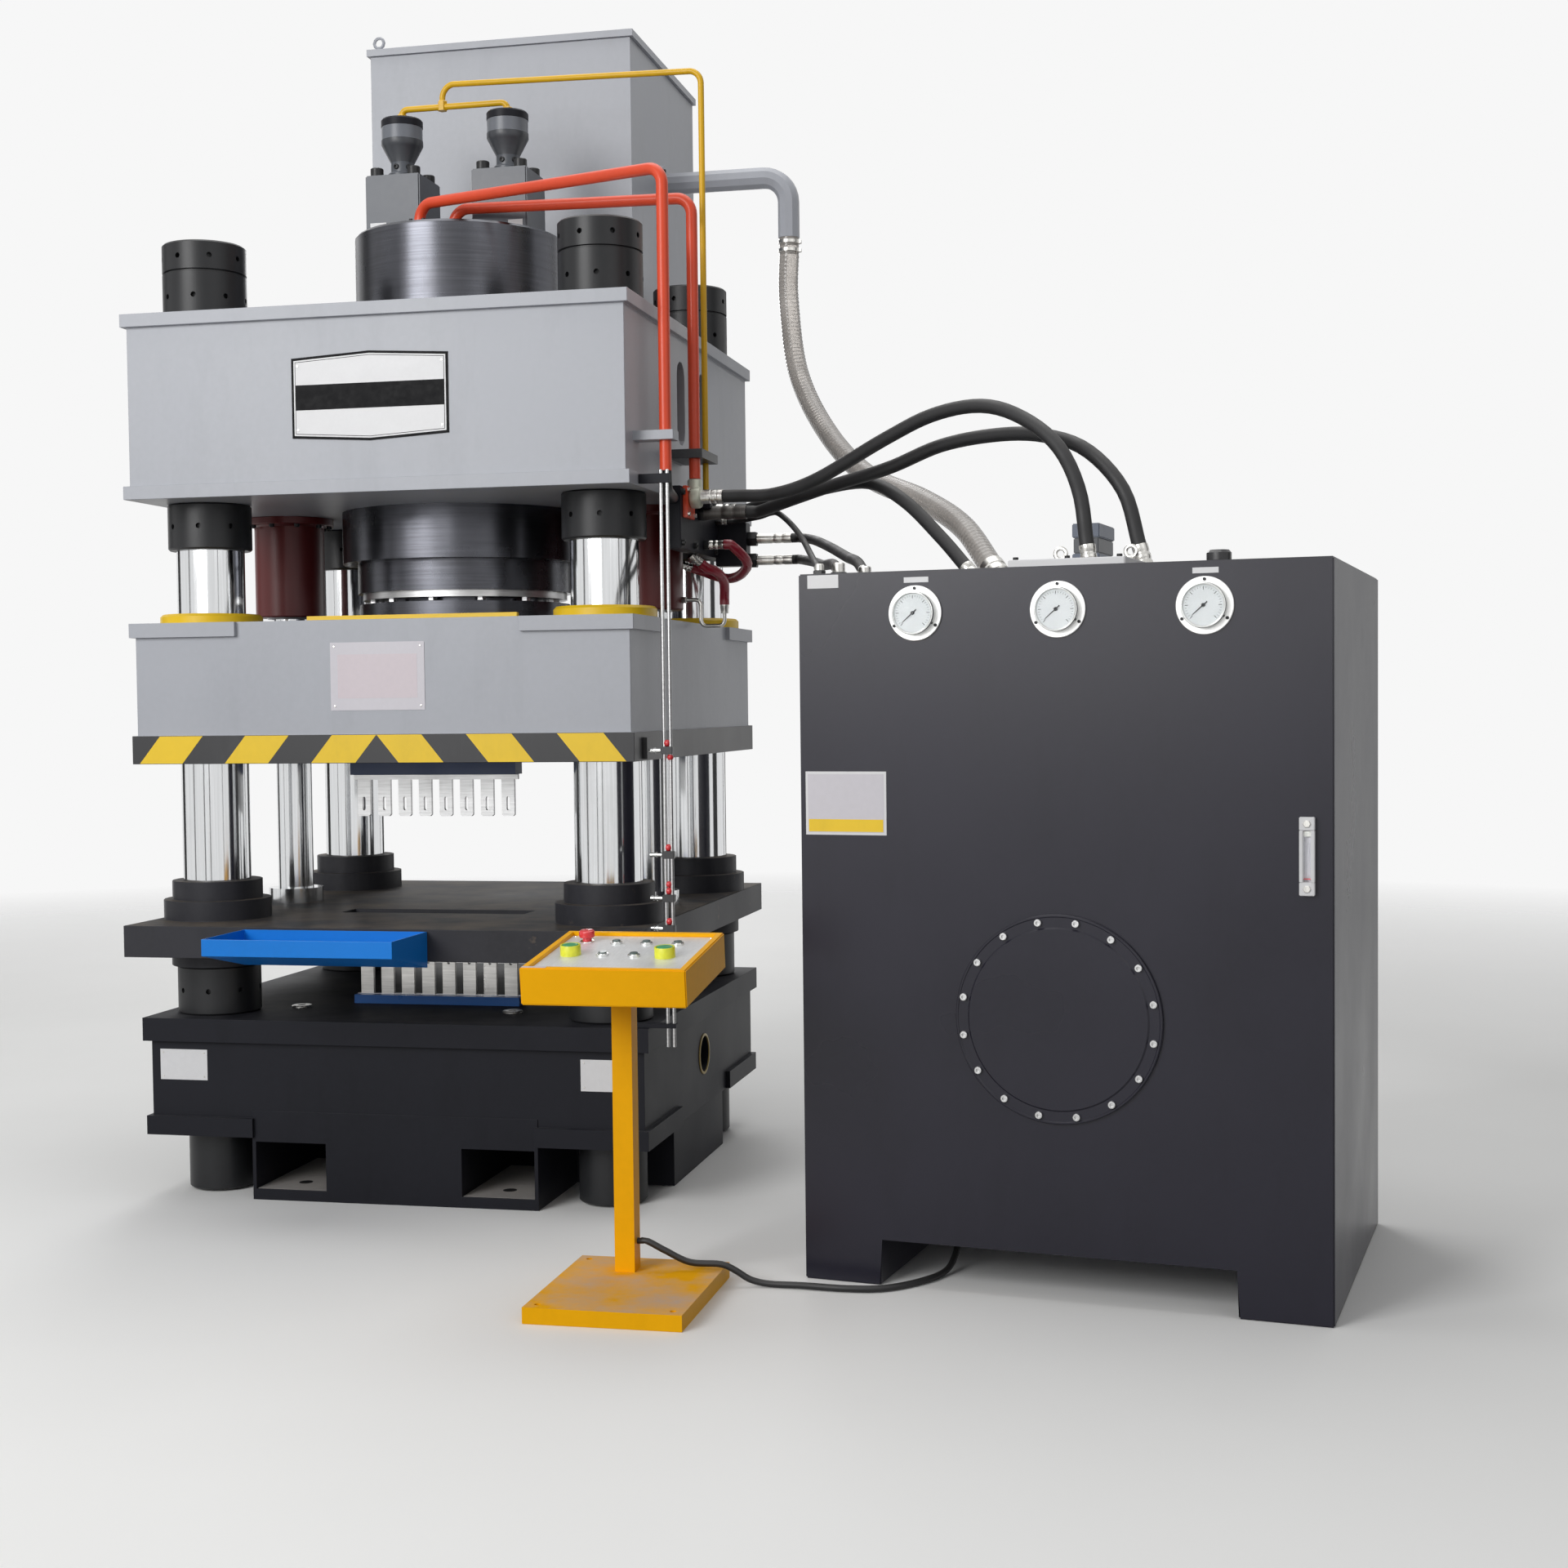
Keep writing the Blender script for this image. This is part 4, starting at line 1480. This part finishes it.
    glass = GAUGE_FLANGE_THICK + GAUGE_BODY_DEPTH
    profile = [(GAUGE_BODY_RADIUS, -GAUGE_BACK), (GAUGE_BODY_RADIUS, SEAT_GAP), (GAUGE_FLANGE_RADIUS, SEAT_GAP),
               (GAUGE_FLANGE_RADIUS, GAUGE_FLANGE_THICK), (GAUGE_BODY_RADIUS, GAUGE_FLANGE_THICK),
               (GAUGE_BODY_RADIUS, glass), (GAUGE_BODY_RADIUS * 0.9, glass), (GAUGE_BODY_RADIUS * 0.88, glass - 0.003),
               (0.0, glass - 0.003)]
    for word, x in zip(("left", "middle", "right"), GAUGE_X):
        bm = bmesh.new()
        add_turned(bm, profile, unit_front(x, GAUGE_Z))
        finish_mesh("pressure_gauge_" + word, bm, materials["gauge_white"], holder)

    bm = bmesh.new()
    place = unit_front(LEVEL_X, LEVEL_Z)
    upright = place @ Matrix.Rotation(slot_roll(place), 4, "Z")
    outline = slot_outline(LEVEL_HALF_WIDTH, LEVEL_HALF_HEIGHT - LEVEL_HALF_WIDTH, 5)
    add_prism(bm, outline, SEAT_GAP, LEVEL_DEPTH, upright)
    finish_mesh("level_gauge", bm, materials["rubber"], holder)

    bm = bmesh.new()
    low = plate_top + SEAT_GAP
    add_box(bm, (VALVE_BLOCK_LEFT, VALVE_BLOCK_FRONT, low),
            (VALVE_BLOCK_LEFT + VALVE_BLOCK_WIDTH, VALVE_BLOCK_FRONT + VALVE_BLOCK_DEPTH, low + VALVE_BLOCK_TALL))
    bmesh.ops.bevel(bm, geom=bm.edges, offset=0.003, segments=1, affect="EDGES")
    finish_mesh("valve_block", bm, materials["steel"], holder)


def build_hoses(materials, suction_end):
    """The flexible hoses and the control cable."""
    suction = (tuple(suction_end - Vector((0, 0, SEAT_GAP))),) + SUCTION_HOSE
    for name, points, radius, finish in (
            ("hose_upper", HOSE_UPPER, HOSE_RADIUS, "rubber"),
            ("hose_middle", HOSE_MIDDLE, HOSE_RADIUS, "rubber"),
            ("hose_lower", HOSE_LOWER, HOSE_RADIUS, "rubber"),
            ("port_hose_upper", PORT_HOSE_UPPER, MEDIUM_HOSE_RADIUS, "rubber"),
            ("port_hose_lower", PORT_HOSE_LOWER, MEDIUM_HOSE_RADIUS, "rubber"),
            ("thin_hose", THIN_HOSE, THIN_HOSE_RADIUS, "rubber"),
            ("suction_hose", suction, SUCTION_HOSE_RADIUS, "clear_hose"),
            ("lift_hose_lower", LIFT_HOSE_LOWER, SIDE_HOSE_RADIUS, "red_hose"),
            ("lift_hose_upper", LIFT_HOSE_UPPER, SIDE_HOSE_RADIUS, "red_hose"),
            ("control_cable", CABLE_ROUTE, CABLE_RADIUS, "rubber")):
        spacing = radius * 2 * HOSE_POINTS
        if name == "control_cable":
            spacing *= 0.9
        if name.startswith("lift"):
            spacing *= 0.6
        route = straighten_ends(smooth_route(points, spacing), points, HOSE_STRAIGHT_END)
        tube(name, route, radius, materials[finish], 1 if radius < SUCTION_HOSE_RADIUS else 2)


def console_frame():
    """The tilted frame of the console: origin in the middle of its top rim, +Z out of the panel."""
    return Matrix.Translation((CONSOLE_X, CONSOLE_Y, CONSOLE_Z)) @ Matrix.Rotation(CONSOLE_TILT, 4, "X")


def place_in_console(obj, x=0.0, y=0.0):
    """Put an object's own frame on the console's panel frame."""
    centre = console_frame() @ Vector((x, y, 0))
    obj.location = centre
    obj.rotation_euler = (CONSOLE_TILT, 0, 0)


def build_pedestal(materials):
    """The operator pedestal: floor plate with post, tilted console and its buttons."""
    half_width = PEDESTAL_PLATE_WIDTH / 2
    half_depth = PEDESTAL_PLATE_DEPTH / 2
    bm = bmesh.new()
    add_box(bm, (PEDESTAL_PLATE_X - half_width, PEDESTAL_PLATE_Y - half_depth, 0),
            (PEDESTAL_PLATE_X + half_width, PEDESTAL_PLATE_Y + half_depth, PEDESTAL_PLATE_THICK))
    stand = finish_mesh("pedestal_stand", bm, materials["orange_paint"])
    frame = console_frame()
    under = -CONSOLE_HEIGHT - SEAT_GAP
    post_low = frame.inverted() @ Vector((POST_X, POST_Y, CONSOLE_Z))
    bm = bmesh.new()
    half = POST_SIDE / 2
    post_top = (frame @ Vector((post_low.x, post_low.y, under - 0.008))).z
    add_box(bm, (POST_X - half, POST_Y - half, PEDESTAL_PLATE_THICK / 2), (POST_X + half, POST_Y + half, post_top))
    fuse(stand, bm, "post")
    bm = bmesh.new()
    add_box(bm, (post_low.x - half * 1.8, post_low.y - half * 1.3, under - 0.014),
            (post_low.x + half * 1.8, post_low.y + half * 1.3, under))
    bmesh.ops.transform(bm, matrix=frame, verts=bm.verts)
    fuse(stand, bm, "head_plate")
    bm = bmesh.new()
    for sign_x in (-1, 1):
        for sign_y in (-1, 1):
            place = (PEDESTAL_PLATE_X + sign_x * half_width * 0.85, PEDESTAL_PLATE_Y + sign_y * half_depth * 0.87, 0)
            add_cylinder(bm, 0.008, -0.01, PEDESTAL_PLATE_THICK + 0.01, Matrix.Translation(place), 12)
    cut(stand, bm, "anchor_holes")

    bm = bmesh.new()
    add_box(bm, (-CONSOLE_WIDTH / 2, -CONSOLE_DEPTH / 2, -CONSOLE_HEIGHT), (CONSOLE_WIDTH / 2, CONSOLE_DEPTH / 2, 0))
    console = finish_mesh("console", bm, materials["orange_paint"])
    place_in_console(console)
    inner_x = CONSOLE_WIDTH / 2 - CONSOLE_RIM
    inner_y = CONSOLE_DEPTH / 2 - CONSOLE_RIM
    bm = bmesh.new()
    add_box(bm, (-inner_x, -inner_y, -PANEL_RECESS), (inner_x, inner_y, 0.05))
    cut(console, bm, "panel")
    bm = bmesh.new()
    for x, y in PALM_PLACES:
        add_cylinder(bm, PALM_GUARD_RADIUS, -PANEL_RECESS - 0.002, PALM_GUARD_HEIGHT - PANEL_RECESS,
                     Matrix.Translation((x, y, 0)), SMALL_SEGMENTS)
    for x, y in PUSH_PLACES:
        add_cylinder(bm, PUSH_BEZEL_RADIUS, -PANEL_RECESS - 0.002, PUSH_BEZEL_HEIGHT - PANEL_RECESS,
                     Matrix.Translation((x, y, 0)), SMALL_SEGMENTS)
    fuse(console, bm, "guards_and_bezels")
    bm = bmesh.new()
    floor = -PANEL_RECESS - BUTTON_BORE_DEPTH
    for places, radius in ((PALM_PLACES, PALM_GUARD_RADIUS - PALM_GUARD_WALL), (PUSH_PLACES, PUSH_RADIUS + RUNNING_GAP),
                           ((ESTOP_PLACE,), ESTOP_STEM_RADIUS + RUNNING_GAP)):
        for x, y in places:
            add_cylinder(bm, radius, floor, 0.06, Matrix.Translation((x, y, 0)), SMALL_SEGMENTS)
    cut(console, bm, "button_bores")

    panel = -PANEL_RECESS
    for word, (x, y) in zip(("left", "right"), PALM_PLACES):
        bm = bmesh.new()
        top = panel + PALM_CAP_HEIGHT
        add_turned(bm, [(PALM_RADIUS, panel - 0.014), (PALM_RADIUS, top - 0.004), (PALM_RADIUS - 0.005, top)],
                   segments=SMALL_SEGMENTS)
        place_in_console(finish_mesh("palm_button_" + word, bm, materials["green_plastic"]), x, y)
    bm = bmesh.new()
    cap = panel + ESTOP_STEM_HEIGHT
    add_turned(bm, [(ESTOP_STEM_RADIUS, panel - 0.015), (ESTOP_STEM_RADIUS, cap), (ESTOP_RADIUS, cap),
                    (ESTOP_RADIUS, cap + ESTOP_CAP_HEIGHT * 0.6), (ESTOP_RADIUS * 0.6, cap + ESTOP_CAP_HEIGHT)],
               segments=SMALL_SEGMENTS)
    place_in_console(finish_mesh("emergency_stop", bm, materials["red_plastic"]), *ESTOP_PLACE)
    for index, (x, y) in enumerate(PUSH_PLACES):
        bm = bmesh.new()
        add_cylinder(bm, PUSH_RADIUS, panel - 0.014, panel + PUSH_CAP_HEIGHT, segments=SMALL_SEGMENTS)
        place_in_console(finish_mesh("push_button_%d" % (index + 1), bm, materials["black_steel"]), x, y)


def main():
    """Build the whole machine."""
    clear_scene()
    materials = make_materials()
    build_base(materials)
    build_columns(materials)
    build_crown(materials)
    build_main_cylinder(materials)
    build_side_cylinders(materials)
    build_slide(materials)
    build_middle_plate(materials)
    build_tooling(materials)
    build_front_tray(materials)
    build_oil_tank(materials)
    build_prefill_valves(materials)
    suction_end = build_rigid_pipes(materials)
    build_manifold(materials)
    build_sensor_post(materials)
    build_power_unit(materials)
    build_hoses(materials, suction_end)
    build_pedestal(materials)


main()
